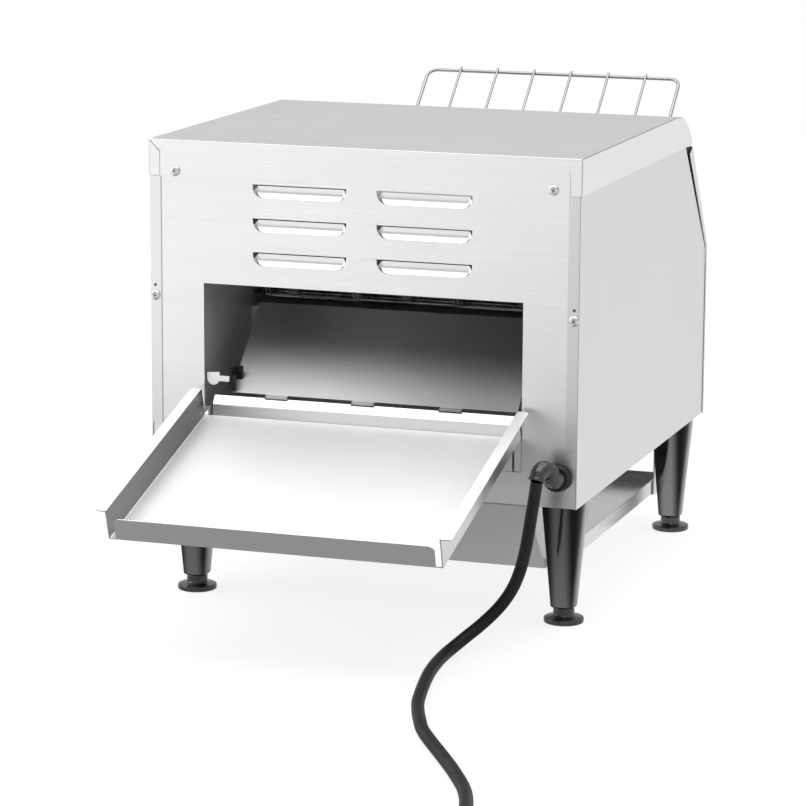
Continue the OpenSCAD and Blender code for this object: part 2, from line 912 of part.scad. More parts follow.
module shaft_bush(y) {
    difference() {
        union() {
            bar_x(y, belt_mid_z, bush_r, chamber_x - 3, chamber_x + wall_t + 3);
            bar_x(y, belt_mid_z, bush_flange_r, chamber_x - 3, chamber_x);
        }
        bar_x(y, belt_mid_z, shaft_r + run_gap, 0, half_w);
    }
}

module shaft_bushes() {
    color("peru")
    both_sides() {
        shaft_bush(drive_y);
        shaft_bush(idler_y);
    }
}

// A point on the belt's centre line at distance s from the start of the upper run
function belt_point(s) =
    let (arc = PI * belt_r)
    s < belt_span ? [idler_y + s, belt_mid_z + belt_r]
    : s < belt_span + arc ?
        let (a = 90 - (s - belt_span) / belt_r * 180 / PI)
        [drive_y + belt_r * cos(a), belt_mid_z + belt_r * sin(a)]
    : s < 2 * belt_span + arc ? [drive_y - (s - belt_span - arc), belt_mid_z - belt_r]
    : let (a = 270 - (s - 2 * belt_span - arc) / belt_r * 180 / PI)
        [idler_y + belt_r * cos(a), belt_mid_z + belt_r * sin(a)];

// Rods across the belt, linked by strands that run around it
module conveyor_belt() {
    strand_w = 2.4;
    strand_t = 1.2;
    color("darkgray") {
        for (i = [0:belt_rods - 1]) {
            p = belt_point((i + 0.5) * belt_len / belt_rods);
            bar_x(p[0], p[1], belt_rod_r, -belt_w / 2, belt_w / 2, $fn = 16);
        }
        both_sides()
            for (x = belt_strand_x)
                along_x(x - strand_w / 2, x + strand_w / 2)
                    difference() {
                        belt_track(belt_r + strand_t / 2);
                        belt_track(belt_r - strand_t / 2);
                    }
    }
}

// Slides under the upper run, carried by two cross bars
module belt_rails() {
    top = belt_mid_z + belt_r - belt_rod_r;
    color("gray") {
        both_sides()
            block([70, 73], [idler_y + 22, drive_y - 22], [top - 3, top]);
        for (y = [lower_quartz_y[0] + quartz_pitch / 2, lower_quartz_y[1] + quartz_pitch / 2])
            block([-chamber_x, chamber_x], [y - 2, y + 2], [top - 5, top - 2]);
    }
}

// ---- chain drive ----

module toothed_wheel() {
    difference() {
        union() {
            translate([-wheel_t / 2, 0, 0])
                rotate([0, 90, 0])
                    cylinder(r = chain_r + tooth_h, h = wheel_t);
            translate([wheel_t / 2, 0, 0])
                rotate([0, 90, 0])
                    cylinder(r = 9, h = 4);
        }
        for (k = [0:chain_teeth - 1])
            rotate([360 / chain_teeth * k, 0, 0]) {
                bar_x(0, chain_r, chain_gap_r, -wheel_t, wheel_t);
                along_x(-wheel_t, wheel_t)
                    polygon([
                        [-chain_gap_r, chain_r], [chain_gap_r, chain_r],
                        [tooth_gap_top, chain_r + tooth_h + 0.5],
                        [-tooth_gap_top, chain_r + tooth_h + 0.5]
                    ]);
            }
    }
}

// Where the chain's wheels stand, turned so that a tooth gap faces each run's end
module at_wheel(y, z) {
    translate([chain_x, y, z])
        rotate([-chain_lean, 0, 0])
            rotate([90, 0, 0])
                children();
}

module chain_wheel() {
    color("dimgray")
    difference() {
        at_wheel(drive_y, belt_mid_z)
            toothed_wheel();
        bar_x(drive_y, belt_mid_z, shaft_r, 0, half_w);
    }
}

module motor_pinion() {
    color("dimgray") {
        at_wheel(motor_y, motor_z)
            toothed_wheel();
        bar_x(motor_y, motor_z, motor_shaft_r, chamber_x - bracket_t - 10, chain_x + 6);
    }
}

// Roller places along the chain: s counts pitches from the drive wheel's first tooth gap
function chain_place(s) =
    let (half = chain_teeth / 2)
    s <= half ?
        [chain_dist / 2 + chain_r * sin(360 * s / chain_teeth),
            chain_r * cos(360 * s / chain_teeth)]
    : s <= half + chain_run ? [chain_dist / 2 - (s - half) * chain_pitch, -chain_r]
    : s <= chain_teeth + chain_run ?
        [-chain_dist / 2 - chain_r * sin(360 * (s - half - chain_run) / chain_teeth),
            -chain_r * cos(360 * (s - half - chain_run) / chain_teeth)]
    : [-chain_dist / 2 + (s - chain_teeth - chain_run) * chain_pitch, chain_r];

module chain_ring(r) {
    translate([chain_dist / 2, 0])
        circle(r = r);
    translate([-chain_dist / 2, 0])
        circle(r = r);
    translate([-chain_dist / 2, -r])
        square([chain_dist, 2 * r]);
}

module drive_chain() {
    half_in = chain_inside / 2;
    color("dimgray")
    translate([chain_x, (drive_y + motor_y) / 2, (belt_mid_z + motor_z) / 2])
        rotate([90 - chain_lean, 0, 0]) {
            for (x = [-half_in - chain_plate_t, half_in])
                along_x(x, x + chain_plate_t)
                    difference() {
                        chain_ring(chain_r + 2.6);
                        chain_ring(chain_r - 2.6);
                    }
            for (s = [0:chain_teeth + 2 * chain_run - 1]) {
                p = chain_place(s);
                bar_x(p[0], p[1], roller_r, -half_in - 0.2, half_in + 0.2, $fn = 16);
            }
        }
}

module gear_motor() {
    box_x1 = chamber_x - bracket_t;
    color("lightslategray")
    difference() {
        union() {
            block([box_x1 - gearbox_size[0], box_x1],
                [motor_y - gearbox_size[1] / 2, motor_y + gearbox_size[1] / 2],
                [motor_z - gearbox_size[2] / 2, motor_z + gearbox_size[2] / 2]);
            bar_x(motor_y, motor_z, motor_can_r, box_x1 - gearbox_size[0] - motor_can_len,
                box_x1 - gearbox_size[0]);
        }
        bar_x(motor_y, motor_z, motor_shaft_r + run_gap, box_x1 - 12, box_x1 + 1);
    }
}

module motor_bracket() {
    margin = 8;
    color("silver")
    difference() {
        block([chamber_x - bracket_t, chamber_x],
            [motor_y - gearbox_size[1] / 2 - margin, motor_y + gearbox_size[1] / 2 + margin],
            [motor_z - gearbox_size[2] / 2 - margin, motor_z + gearbox_size[2] / 2 + margin]);
        bar_x(motor_y, motor_z, motor_shaft_r + 3, 0, half_w);
    }
}

// ---- fan, wiring and controls behind the front ----

module fan_housing() {
    half = fan_size / 2;
    color("darkslategray")
    translate([fan_pos[0], fan_pos[1], base_top]) {
        difference() {
            block([-half, half], [-half, half], [0, fan_t]);
            bar_z(0, 0, fan_duct_r, -1, fan_t + 1);
            for (x = [-1, 1], y = [-1, 1])
                bar_z(x * (half - 4.3), y * (half - 4.3), 2.2, -1, fan_t + 1);
        }
        bar_z(0, 0, fan_hub_r, 0, 4);
        for (a = [0, 120, 240])
            rotate(a)
                block([fan_hub_r - 2, fan_duct_r + 1], [-2, 2], [0, 3]);
    }
}

module fan_impeller() {
    color("dimgray")
    translate([fan_pos[0], fan_pos[1], base_top]) {
        bar_z(0, 0, fan_hub_r, 4.6, fan_t - 2);
        for (i = [0:fan_blades - 1])
            rotate(i * 360 / fan_blades)
                translate([0, 0, 13])
                    rotate([35, 0, 0])
                        block([fan_hub_r - 2, blade_tip_r], [-blade_w / 2, blade_w / 2],
                            [-blade_t / 2, blade_t / 2]);
    }
}

module terminal_block() {
    x = -side_room_x;
    y = rear_y - terminal_in;
    color("ivory")
    difference() {
        union() {
            block([x - 12, x + 12], [y - 22.5, y + 22.5], [base_top, base_top + 6]);
            block([x - 9, x + 9], [y - 19.5, y + 19.5], [base_top + 6, base_top + 19]);
        }
        for (i = [-1:1])
            bar_z(x, y + terminal_pitch * i, 2.5, base_top + 10, base_top + 20);
    }
}

module safety_thermostat() {
    x0 = chamber_x + wall_t;
    color("dimgray")
    mirror([1, 0, 0]) {
        bar_x(-20, thermostat_z, 8, x0, x0 + 9);
        block([x0, x0 + 1.2], [-36, -4], [thermostat_z - 4, thermostat_z + 4]);
        for (y = [-24, -16])
            block([x0 + 9, x0 + 17], [y - 0.4, y + 0.4], [thermostat_z - 3, thermostat_z + 3]);
    }
}

module speed_board() {
    color("seagreen")
    translate([board_lo[0], board_lo[1], board_z]) {
        block([0, board_size[0]], [0, board_size[1]], [0, 1.6]);
        for (x = [4, board_size[0] - 4], y = [4, board_size[1] - 4])
            bar_z(x, y, 2.5, base_top - board_z, 0);
        block([12, 30], [14, 34], [1.6, 20]);
        block([40, 44], [12, 44], [1.6, 26]);
        bar_z(22, 47, 6, 1.6, 16);
        block([50, 60], [20, 50], [1.6, 12]);
    }
}

// Body and threaded bush of a rotary control, bored for its spindle
module control_body(x) {
    difference() {
        union() {
            children();
            bar_y(x, control_z, bushing_r, front_y - 0.6, front_y + 4);
        }
        bar_y(x, control_z, spindle_r + run_gap, front_y - 2, front_y + 11);
    }
}

module speed_control() {
    color("slategray")
    control_body(speed_x)
        bar_y(speed_x, control_z, pot_r, front_y + sheet_t, front_y + sheet_t + pot_len);
}

module heat_switch() {
    color("slategray")
    control_body(heat_x)
        block([heat_x - switch_w / 2, heat_x + switch_w / 2],
            [front_y + sheet_t, front_y + sheet_t + 24],
            [control_z - switch_w / 2, control_z + switch_w / 2]);
}

// Skirted knob with a finger bar across its face
module knob(x) {
    bar_y(x, control_z, knob_d / 2, knob_y - 4, knob_y);
    bar_y(x, control_z, knob_d / 2 - 4, knob_y - knob_h + 6, knob_y - 4);
    difference() {
        bar_y(x, control_z, knob_d / 2 - 4, knob_y - knob_h, knob_y - knob_h + 6);
        for (s = [-1, 1])
            translate([x + s * knob_d / 2, 0, control_z])
                block([-knob_d / 2 + 4.5, knob_d / 2 - 4.5], [knob_y - knob_h - 1,
                    knob_y - knob_h + 6], [-knob_d, knob_d]);
    }
    bar_y(x, control_z, spindle_r, knob_y - 1, front_y + 10);
}

module speed_knob() {
    color("black")
    knob(speed_x);
}

module heat_knob() {
    color("black")
    knob(heat_x);
}

module rocker_bezel() {
    half = rocker_w / 2 + rocker_gap;
    color("black")
    difference() {
        union() {
            block([rocker_x - half - 3.5, rocker_x + half + 3.5], [front_y - 1.8, front_y],
                [control_z - rocker_room - 3.5, control_z + rocker_room + 3.5]);
            block([rocker_x - half - 1.5, rocker_x + half + 1.5], [front_y, front_y + 20],
                [control_z - rocker_room - 1.5, control_z + rocker_room + 1.5]);
        }
        block([rocker_x - half, rocker_x + half], [front_y - 3, front_y + 13],
            [control_z - rocker_room, control_z + rocker_room]);
    }
}

// Resting tipped one way, it turns to the same tilt the other way
module power_rocker() {
    color("darkred")
    translate([rocker_x, rocker_pivot_y, control_z])
        rotate([-rocker_tilt, 0, 0]) {
            along_x(-rocker_w / 2, rocker_w / 2)
                polygon([
                    [0, -rocker_len / 2], [0, rocker_len / 2], [-8.2, rocker_len / 2],
                    [-6.6, 0], [-8.2, -rocker_len / 2]
                ]);
            bar_x(0, 0, 2.5, -rocker_w / 2, rocker_w / 2);
        }
}

module signal_lamp() {
    color("orange") {
        bar_y(lamp_x, control_z, 5, front_y - 0.2, front_y + 18);
        bar_y(lamp_x, control_z, 6.5, front_y - 4, front_y);
    }
}

// ---- delivery: sill, diverter, trays ----

// Bent strip across the opening, notched for the diverter's three hinge tabs, with a pocket at
// each end behind the panel for the tray's legs
module sill_strip() {
    top = [hinge_y + 1.2, hinge_z - 0.8];
    fold = [sill_out_y, sill_fold_z];
    pocket_y = hook_in_y - pocket_gap;
    color("gainsboro") {
        both_sides() {
            block([sill_half - 14, hook_x1 + 1], [pocket_y - 1, pocket_y],
                [hook_low_z - 1, opening_low + 1]);
            block([sill_half - 14, hook_x1 + 1], [pocket_y - 1, inner_y],
                [hook_low_z - 1, hook_low_z]);
            block([sill_half - 14, sill_half - 6], [pocket_y - 1, inner_y - 1],
                [hook_low_z, opening_low + 1]);
        }
        sill_bend(top, fold);
    }
}

module sill_bend(top, fold) {
    difference() {
        along_x(-sill_half, sill_half)
            polygon([
                top, fold, [sill_out_y, opening_low + 1], [sill_out_y - 1, opening_low + 1],
                [sill_out_y - 1, opening_low + 2], [inner_y, opening_low + 2],
                [inner_y, opening_low - 14], [inner_y - 1, opening_low - 14],
                [inner_y - 1, opening_low + 3], [sill_out_y - 1, opening_low + 3],
                fold - [1, 0.5], top - [0.8, 0.8]
            ]);
        for (x = [-hinge_tab_x, 0, hinge_tab_x])
            block([x - hinge_tab_w / 2 - 0.6, x + hinge_tab_w / 2 + 0.6],
                [hinge_y - 4, hinge_y + hinge_r + 0.5], [hinge_z - hinge_r - 0.5, hinge_z + 4]);
    }
}

module diverter_plate() {
    color("silver")
    translate([0, hinge_y, hinge_z])
        rotate([180 - diverter_lean, 0, 0]) {
            block([-diverter_right, diverter_left], [2.2, diverter_len],
                [-diverter_t / 2, diverter_t / 2]);
            for (x = [-hinge_tab_x, 0, hinge_tab_x]) {
                block([x - hinge_tab_w / 2, x + hinge_tab_w / 2], [0, 3],
                    [-diverter_t / 2, diverter_t / 2]);
                bar_x(0, 0, hinge_r, x - hinge_tab_w / 2, x + hinge_tab_w / 2);
            }
        }
}

// Finger tab on the diverter's left end and the clip that holds it to the plate
module diverter_lever() {
    x0 = diverter_left;
    tab_y = hinge_y + 1;
    color("whitesmoke") {
        along_y(tab_y, tab_y + 1.2) {
            translate([x0 + lever_reach - lever_tab_r, hinge_z + 13])
                circle(r = lever_tab_r);
            translate([x0 + 2, hinge_z + 9.5])
                square([lever_reach - lever_tab_r - 2, 8.5]);
        }
        block([x0, x0 + 3], [hinge_y - 14, tab_y + 1.2], [hinge_z + 8, hinge_z + 22]);
    }
}

module outlet_tray() {
    color("gainsboro") {
        translate([0, tray_y, tray_top_z])
            rotate([-tray_tilt, 0, 0]) {
                block([-tray_half, tray_half], [0, tray_len], [-1, 0]);
                both_sides() {
                    block([tray_half - 1, tray_half], [0, tray_len], [-1, tray_wall_h - 1]);
                    block([tray_half - 1, tray_half + tray_flange_w], [0, tray_len],
                        [tray_wall_h - 1, tray_wall_h]);
                }
                block([-tray_lip_half, tray_lip_half], [tray_len - 1, tray_len],
                    [-1, tray_lip_h]);
            }
        both_sides() {
            block([hook_x0, hook_x1], [tray_y - 0.4, tray_y + 0.8],
                [tray_top_z - 2.5, tray_top_z + hook_over]);
            block([hook_x0, hook_x1], [hook_in_y, tray_y + 0.8],
                [tray_top_z - 2.5, tray_top_z - 1]);
            block([hook_x0, hook_x1], [hook_in_y, hook_in_y + 1],
                [hook_low_z, tray_top_z - 1]);
        }
    }
}

// Sheet under the base that turns falling toast towards the front
module return_chute() {
    run = [exit_y1 - chute_low_y, leg_clear - 1 - chute_low_z];
    drop = 1 / cos(atan2(run[1], run[0]));
    color("silver")
    intersection() {
        along_x(-chute_half_top, chute_half_top)
            polygon([
                [rear_y - 1, leg_clear], [exit_y1, leg_clear], [exit_y1, leg_clear - 1 + drop / 2],
                [chute_low_y, chute_low_z], [chute_low_y - chute_foot, chute_low_z],
                [chute_low_y - chute_foot, chute_low_z - 1], [chute_low_y, chute_low_z - 1],
                [exit_y1 + 1, leg_clear - 1], [rear_y - 1, leg_clear - 1]
            ]);
        linear_extrude(body_h)
            polygon([
                [chute_half_top, rear_y], [chute_half_top, exit_y1],
                [chute_half_low, chute_low_y], [chute_half_low, 0],
                [-chute_half_low, 0], [-chute_half_low, chute_low_y],
                [-chute_half_top, exit_y1], [-chute_half_top, rear_y]
            ]);
    }
}

module return_tray() {
    top = return_z + return_wall_h;
    color("gainsboro") {
        block([-return_half, return_half], [return_front_y, return_rear_y],
            [return_z, return_floor]);
        both_sides()
            block([return_half - 1, return_half], [return_front_y, return_rear_y],
                [return_z, top]);
        block([-return_half, return_half], [return_front_y, return_front_y + 1],
            [return_z, top]);
    }
}

// Four straps that hang from the base and carry the return tray on their feet
module tray_hangers() {
    x1 = return_half + hanger_gap + hanger_t;
    color("silver")
    both_sides()
        for (y = [hanger_rear_y, hanger_front_y]) {
            block([x1 - hanger_t, x1], [y, y + hanger_w], [return_z - hanger_t, leg_clear]);
            block([x1 - hanger_foot, x1], [y, y + hanger_w], [return_z - hanger_t, return_z]);
        }
}

// ---- feed rack ----

// Wire frame in its own plane: X across, Y down the slope from the top bar
module rack_wires_flat() {
    corner = rack_half - rack_corner_r;
    both_sides() {
        bar_y(rack_half, 0, rack_frame_r, rack_corner_r, rack_len);
        translate([corner, rack_corner_r, 0])
            rotate([0, 0, -90])
                rotate_extrude(angle = 90, $fn = 48)
                    translate([rack_corner_r, 0])
                        circle(r = rack_frame_r, $fn = 16);
    }
    bar_x(0, 0, rack_frame_r, -corner, corner);
    bar_x(rack_len, 0, rack_frame_r, -rack_half, rack_half);
    bar_x(rack_bar, 0, rack_frame_r, -rack_half, rack_half);
    for (i = [0:rack_wires - 1])
        bar_y((i - (rack_wires - 1) / 2) * rack_wire_pitch,
            rack_frame_r + rack_wire_r - 0.4, rack_wire_r, -rack_wire_over, rack_len + 1);
}

module feed_rack() {
    color("silver")
    translate([0, rack_top_y, rack_top_z])
        rotate([-rack_tilt, 0, 0])
            rack_wires_flat();
}

// Two arms on the front edge, notched at their ends for the rack's cross bar
module rack_arms() {
    color("gainsboro")
    both_sides()
        along_x(rack_arm_x, rack_arm_x + rack_arm_t)
            difference() {
                union() {
                    translate([front_y - rack_arm_t, skirt_z])
                        square([rack_arm_t, rack_arm_base]);
                    translate([rack_bar_y, rack_bar_z])
                        circle(r = rack_arm_w / 2);
                    polygon([
                        [front_y, skirt_z], [front_y, skirt_z + rack_arm_base],
                        [rack_bar_y + rack_arm_w / 2, rack_bar_z],
                        [rack_bar_y - rack_arm_w / 2, rack_bar_z]
                    ]);
                }
                translate([rack_bar_y, rack_bar_z])
                    circle(r = rack_frame_r + gap);
                translate([rack_bar_y - rack_frame_r - gap, rack_bar_z])
                    square([2 * (rack_frame_r + gap), rack_arm_w]);
            }
}

// ---- legs and feet ----

module rounded_square(w, r) {
    offset(r = r, $fn = 32)
        square(w - 2 * r, center = true);
}

module leg() {
    difference() {
        union() {
            hull() {
                translate([0, 0, leg_top_z - 0.5])
                    linear_extrude(0.5)
                        rounded_square(leg_top_w, 6);
                translate([0, 0, leg_low_z])
                    linear_extrude(0.5)
                        rounded_square(leg_low_w, 5);
            }
            cylinder(r = leg_top_w / 2 - 5, h = leg_clear, $fn = 32);
        }
        translate([0, 0, -1])
            cylinder(r = leg_top_w, h = leg_low_z + 1);
        translate([0, 0, leg_low_z - 1])
            cylinder(r = stud_r + run_gap, h = stud_len + 4);
    }
}

module legs() {
    color("black")
    for (p = leg_points)
        translate([p[0], p[1], 0])
            leg();
}

module levelling_foot(i) {
    color("black")
    translate([leg_points[i][0], leg_points[i][1], 0]) {
        cylinder(r = pad_d / 2, h = pad_h);
        cylinder(r = neck_d / 2, h = pad_h + neck_h);
        cylinder(r = stud_r, h = pad_h + neck_h + stud_len);
    }
}

module foot_rear_right() {
    levelling_foot(0);
}

module foot_rear_left() {
    levelling_foot(1);
}

module foot_front_right() {
    levelling_foot(2);
}

module foot_front_left() {
    levelling_foot(3);
}

// ---- fasteners ----

// Pan head with a cross slot, its shank running into the casing
module pan_screw(x, z) {
    difference() {
        union() {
            bar_y(x, z, screw_head_r, rear_y, rear_y + 2.2);
            bar_y(x, z, screw_r - 0.05, rear_y - 9, rear_y);
        }
        for (a = [0, 90])
            translate([x, rear_y + 2.2, z])
                rotate([0, a, 0])
                    cube([5, 2.4, 1], center = true);
    }
}

module panel_screws() {
    color("silver")
    both_sides() {
        pan_screw(cover_screw_x, cover_screw_z);
        pan_screw(side_screw_x, side_screw_z);
    }
}

// ---- mains lead ----

module cord_gland() {
    color("black")
    difference() {
        union() {
            bar_y(-gland_x, gland_z, gland_r, inner_y - 6, panel_y);
            bar_y(-gland_x, gland_z, gland_r + 2.6, panel_y, relief_y);
            bar_y(-gland_x, gland_z, gland_r + 2.6, inner_y - 5, inner_y);
        }
        bar_y(-gland_x, gland_z, cord_r + 0.5, inner_y - 8, rear_y - 3);
    }
}

// Rubber elbow that rises out of the gland and turns the lead down
module strain_relief() {
    color("black")
    tube(smooth_route(relief_route, 3), relief_r0, relief_r1, 12);
}

module power_cord() {
    color("black")
    tube(smooth_route(cord_route, cord_smooth), cord_r, cord_r, 10);
}

// Outer shape of the coiled spare length
module cord_coil() {
    color("black")
    translate([coil_centre[0], coil_centre[1], 0])
        difference() {
            cylinder(r = coil_out_r, h = coil_h);
            translate([0, 0, -1])
                cylinder(r = coil_in_r, h = coil_h + 2);
        }
}

// Plug lying beside the coil, with its two round pins
module plug() {
    pin_r = 2.4;
    pin_len = 19;
    color("black")
    translate([plug_lie[0], plug_lie[1], plug_r]) {
        bar_x(0, 0, cord_r + 2.5, 0, plug_neck_len);
        bar_x(0, 0, plug_r, plug_neck_len, plug_neck_len + plug_len);
        for (y = [-9.5, 9.5])
            bar_x(y, 0, pin_r, plug_neck_len + plug_len, plug_neck_len + plug_len + pin_len);
    }
}

place() top_cover();
place() side_panel_right();
place() side_panel_left();
place() rear_panel();
place() front_fascia();
place() front_panel();
place() base_plate();
place() inner_wall_right();
place() inner_wall_left();
place() partition_plate();
place() heat_shield();
place() upper_reflector();
place() lower_reflector();
place() upper_quartz_tubes();
place() lower_quartz_tubes();
place() ceramic_end_caps();
place() drive_shaft();
place() drive_belt_wheels();
place() idler_shaft();
place() idler_belt_wheels();
place() shaft_bushes();
place() conveyor_belt();
place() belt_rails();
place() drive_chain();
place() chain_wheel();
place() motor_pinion();
place() gear_motor();
place() motor_bracket();
place() fan_housing();
place() fan_impeller();
place() terminal_block();
place() safety_thermostat();
place() speed_board();
place() speed_control();
place() speed_knob();
place() heat_switch();
place() heat_knob();
place() rocker_bezel();
place() power_rocker();
place() signal_lamp();
place() sill_strip();
place() diverter_plate();
place() diverter_lever();
place() outlet_tray();
place() return_chute();
place() return_tray();
place() tray_hangers();
place() feed_rack();
place() rack_arms();
place() legs();
place() foot_rear_right();
place() foot_rear_left();
place() foot_front_right();
place() foot_front_left();
place() panel_screws();
place() cord_gland();
place() strain_relief();
place() power_cord();
place() cord_coil();
place() plug();
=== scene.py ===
import json
import math

import bmesh
import bpy
from bpy.props import BoolProperty, FloatProperty, FloatVectorProperty, IntProperty, PointerProperty
from mathutils import Matrix, Vector


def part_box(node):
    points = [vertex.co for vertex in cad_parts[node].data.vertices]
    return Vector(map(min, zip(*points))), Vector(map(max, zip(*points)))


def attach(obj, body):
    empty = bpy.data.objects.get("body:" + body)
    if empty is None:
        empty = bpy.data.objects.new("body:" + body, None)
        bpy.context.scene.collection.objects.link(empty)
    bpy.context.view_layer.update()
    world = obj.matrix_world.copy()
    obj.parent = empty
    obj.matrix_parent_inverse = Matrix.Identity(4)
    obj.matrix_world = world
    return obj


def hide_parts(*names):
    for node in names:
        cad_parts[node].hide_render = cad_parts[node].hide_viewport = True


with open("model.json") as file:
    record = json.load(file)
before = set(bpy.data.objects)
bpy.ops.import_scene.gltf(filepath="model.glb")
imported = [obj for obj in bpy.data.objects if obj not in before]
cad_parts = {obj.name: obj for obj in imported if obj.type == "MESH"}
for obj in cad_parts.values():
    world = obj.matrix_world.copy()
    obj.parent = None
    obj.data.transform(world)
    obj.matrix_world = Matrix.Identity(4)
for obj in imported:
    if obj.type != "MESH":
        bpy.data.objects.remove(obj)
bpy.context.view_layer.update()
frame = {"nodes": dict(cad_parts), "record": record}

bl_info = {
    "name": "Conveyor toaster finishes",
    "version": (1, 0, 0),
    "blender": (4, 5, 0),
    "location": "3D View > Sidebar > Toaster",
    "description": "Finished surfaces, wires, lead and stage for the conveyor toaster",
    "category": "Object",
}

MM = 0.001

# The casing's rear face, 209 mm behind the casing's middle, ties the frame to casing millimetres
REAR = 209.0
FRONT = -REAR
MIDDLE_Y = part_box("top_cover")[1].y - REAR * MM
BASE_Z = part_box("base_plate")[0].z / MM


def at(x, y, z):
    """A point given in casing millimetres, in the row frame's metres."""
    return Vector((x * MM, y * MM + MIDDLE_Y, z * MM))


def node_mm(name):
    """A CAD node's lowest and highest corner in casing millimetres."""
    lo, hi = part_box(name)
    shift = Vector((0, MIDDLE_Y, 0))
    return (lo - shift) / MM, (hi - shift) / MM


def middle_mm(name):
    """The middle of a CAD node's box in casing millimetres."""
    lo, hi = node_mm(name)
    return (lo + hi) / 2


BODY_OF = {
    node: body
    for body, nodes in frame["record"]["behaviour"]["bodies"].items()
    for node in nodes
}
ROOT = "machine"


# ---------------------------------------------------------------- shader building


class Field:
    """A node socket that takes part in sums, each of which adds a Math node."""

    def __init__(self, finish, socket):
        self.finish, self.socket = finish, socket

    def _sum(self, operation, left, right):
        return self.finish.math(operation, left, right)

    def __add__(self, other):
        return self._sum("ADD", self, other)

    def __radd__(self, other):
        return self._sum("ADD", other, self)

    def __sub__(self, other):
        return self._sum("SUBTRACT", self, other)

    def __rsub__(self, other):
        return self._sum("SUBTRACT", other, self)

    def __mul__(self, other):
        return self._sum("MULTIPLY", self, other)

    def __rmul__(self, other):
        return self._sum("MULTIPLY", other, self)


def new_node(tree, kind, settings, values):
    """Adds a node: its settings first, then values or links for its sockets."""
    node = tree.nodes.new(kind)
    for key, value in (settings or {}).items():
        if key == "stops":
            for element, (place, colour) in zip(node.color_ramp.elements, value):
                element.position, element.color = place, colour
        else:
            setattr(node, key, value)
    for key, value in (values or {}).items():
        source = value.socket if isinstance(value, Field) else value
        if isinstance(source, bpy.types.NodeSocket):
            tree.links.new(source, node.inputs[key])
        else:
            node.inputs[key].default_value = source
    return node


class Finish:
    """A material under construction, or a world."""

    def __init__(self, name, family="materials"):
        self.owner = getattr(bpy.data, family).new(name)
        self.owner.use_nodes = True
        self.tree = self.owner.node_tree
        self.tree.nodes.clear()

    def add(self, kind, settings=None, values=None, out=0):
        """Adds a node and returns one of its outputs, if it has any."""
        node = new_node(self.tree, kind, settings, values)
        return Field(self, node.outputs[out]) if len(node.outputs) else None

    def math(self, operation, *terms):
        return self.add("ShaderNodeMath", {"operation": operation}, dict(enumerate(terms)))

    def limit(self, value, low, high):
        """The value clamped to run from 0 at low to 1 at high."""
        return self.add("ShaderNodeMapRange", {"interpolation_type": "SMOOTHSTEP"},
                        {0: value, 1: low, 2: high, 3: 0.0, 4: 1.0})

    def place(self, scale=(1, 1, 1)):
        """Object coordinates, stretched by scale."""
        where = self.add("ShaderNodeTexCoord", out="Object")
        return self.add("ShaderNodeMapping", {}, {0: where, 3: scale})

    def noise(self, where, scale, detail=2.0, roughness=0.5):
        return self.add("ShaderNodeTexNoise", {}, {"Vector": where, "Scale": scale,
                                                   "Detail": detail, "Roughness": roughness}, "Fac")

    def blend(self, amount, first, second):
        """A colour between first and second."""
        return self.add("ShaderNodeMix", {"data_type": "RGBA"}, {0: amount, 6: first, 7: second}, 2)

    def bump(self, height, strength, distance):
        return self.add("ShaderNodeBump", {}, {"Height": height, "Strength": strength,
                                               "Distance": distance})

    def surface(self, **values):
        """Closes the material with a Principled shader; names use _ for a space."""
        names = {key.replace("_", " "): value for key, value in values.items()}
        shader = self.add("ShaderNodeBsdfPrincipled", {}, names)
        self.add("ShaderNodeOutputMaterial", {}, {"Surface": shader})
        return self.owner


def tone(colour, factor=1.0):
    """The colour times factor, with an alpha of one."""
    return tuple(min(1.0, channel * factor) for channel in colour[:3]) + (1.0,)


def grey(value):
    return value, value, value, 1


FINISHES = {}


def finish(name):
    """The named material, made when it is first asked for."""
    if name not in FINISHES:
        FINISHES[name] = RECIPES[name](name)
    return FINISHES[name]


def brushed(name, grain, colour, roughness=0.3, streaks=0.05, fine=900.0, long=9.0, metal=1.0,
            mottle=0.0, shade=None):
    """Ground sheet metal, streaked along the axis named by grain.

    The streaks' noise has the scale fine across the grain and long along it. Mottle adds an even
    speckle, and shade is painted shade along X: the X where the sheet is painted darkest, the X where
    it is plain, and a factor.
    """
    f = Finish(name)
    stretch = tuple(long if axis == grain else fine for axis in "XYZ")
    streak = f.noise(f.place(stretch), 1.0, 3.0, 0.6)
    broad = f.noise(f.place(tuple(s * 0.12 for s in stretch)), 1.0, 2.0)
    cloud = f.noise(f.place(), 14.0, 2.0)
    light = (streak - 0.5) * streaks + (broad - 0.5) * (streaks * 0.8) + (cloud - 0.5) * 0.03 + 0.5
    if mottle:
        grainy = f.noise(f.place(), 650.0, 3.0, 0.7)
        light = light + (grainy - 0.5) * mottle
    steel = f.blend(f.limit(light, 0.38, 0.62), tone(colour, 0.93), tone(colour, 1.05))
    # Painted shade: the colour darkens toward one side along X
    if shade:
        painted_dark_x, unshaded_x, factor = shade
        across = f.add("ShaderNodeSeparateXYZ", {}, {0: f.place()})
        steel = f.blend(f.limit(across, painted_dark_x, unshaded_x), tone(colour, factor), steel)
    rough = (streak - 0.5) * 0.16 + (cloud - 0.5) * 0.06 + roughness
    return f.surface(Base_Color=steel, Metallic=metal, Roughness=rough,
                     Normal=f.bump(streak, 0.05, 0.0003))


def ground_sheet(grain, factor=1.0, **options):
    """A recipe for ground sheet in the scene's steel colour times factor."""
    def make(name):
        return brushed(name, grain, tone(bpy.context.scene.toaster_sheet.steel, factor), **options)
    return make


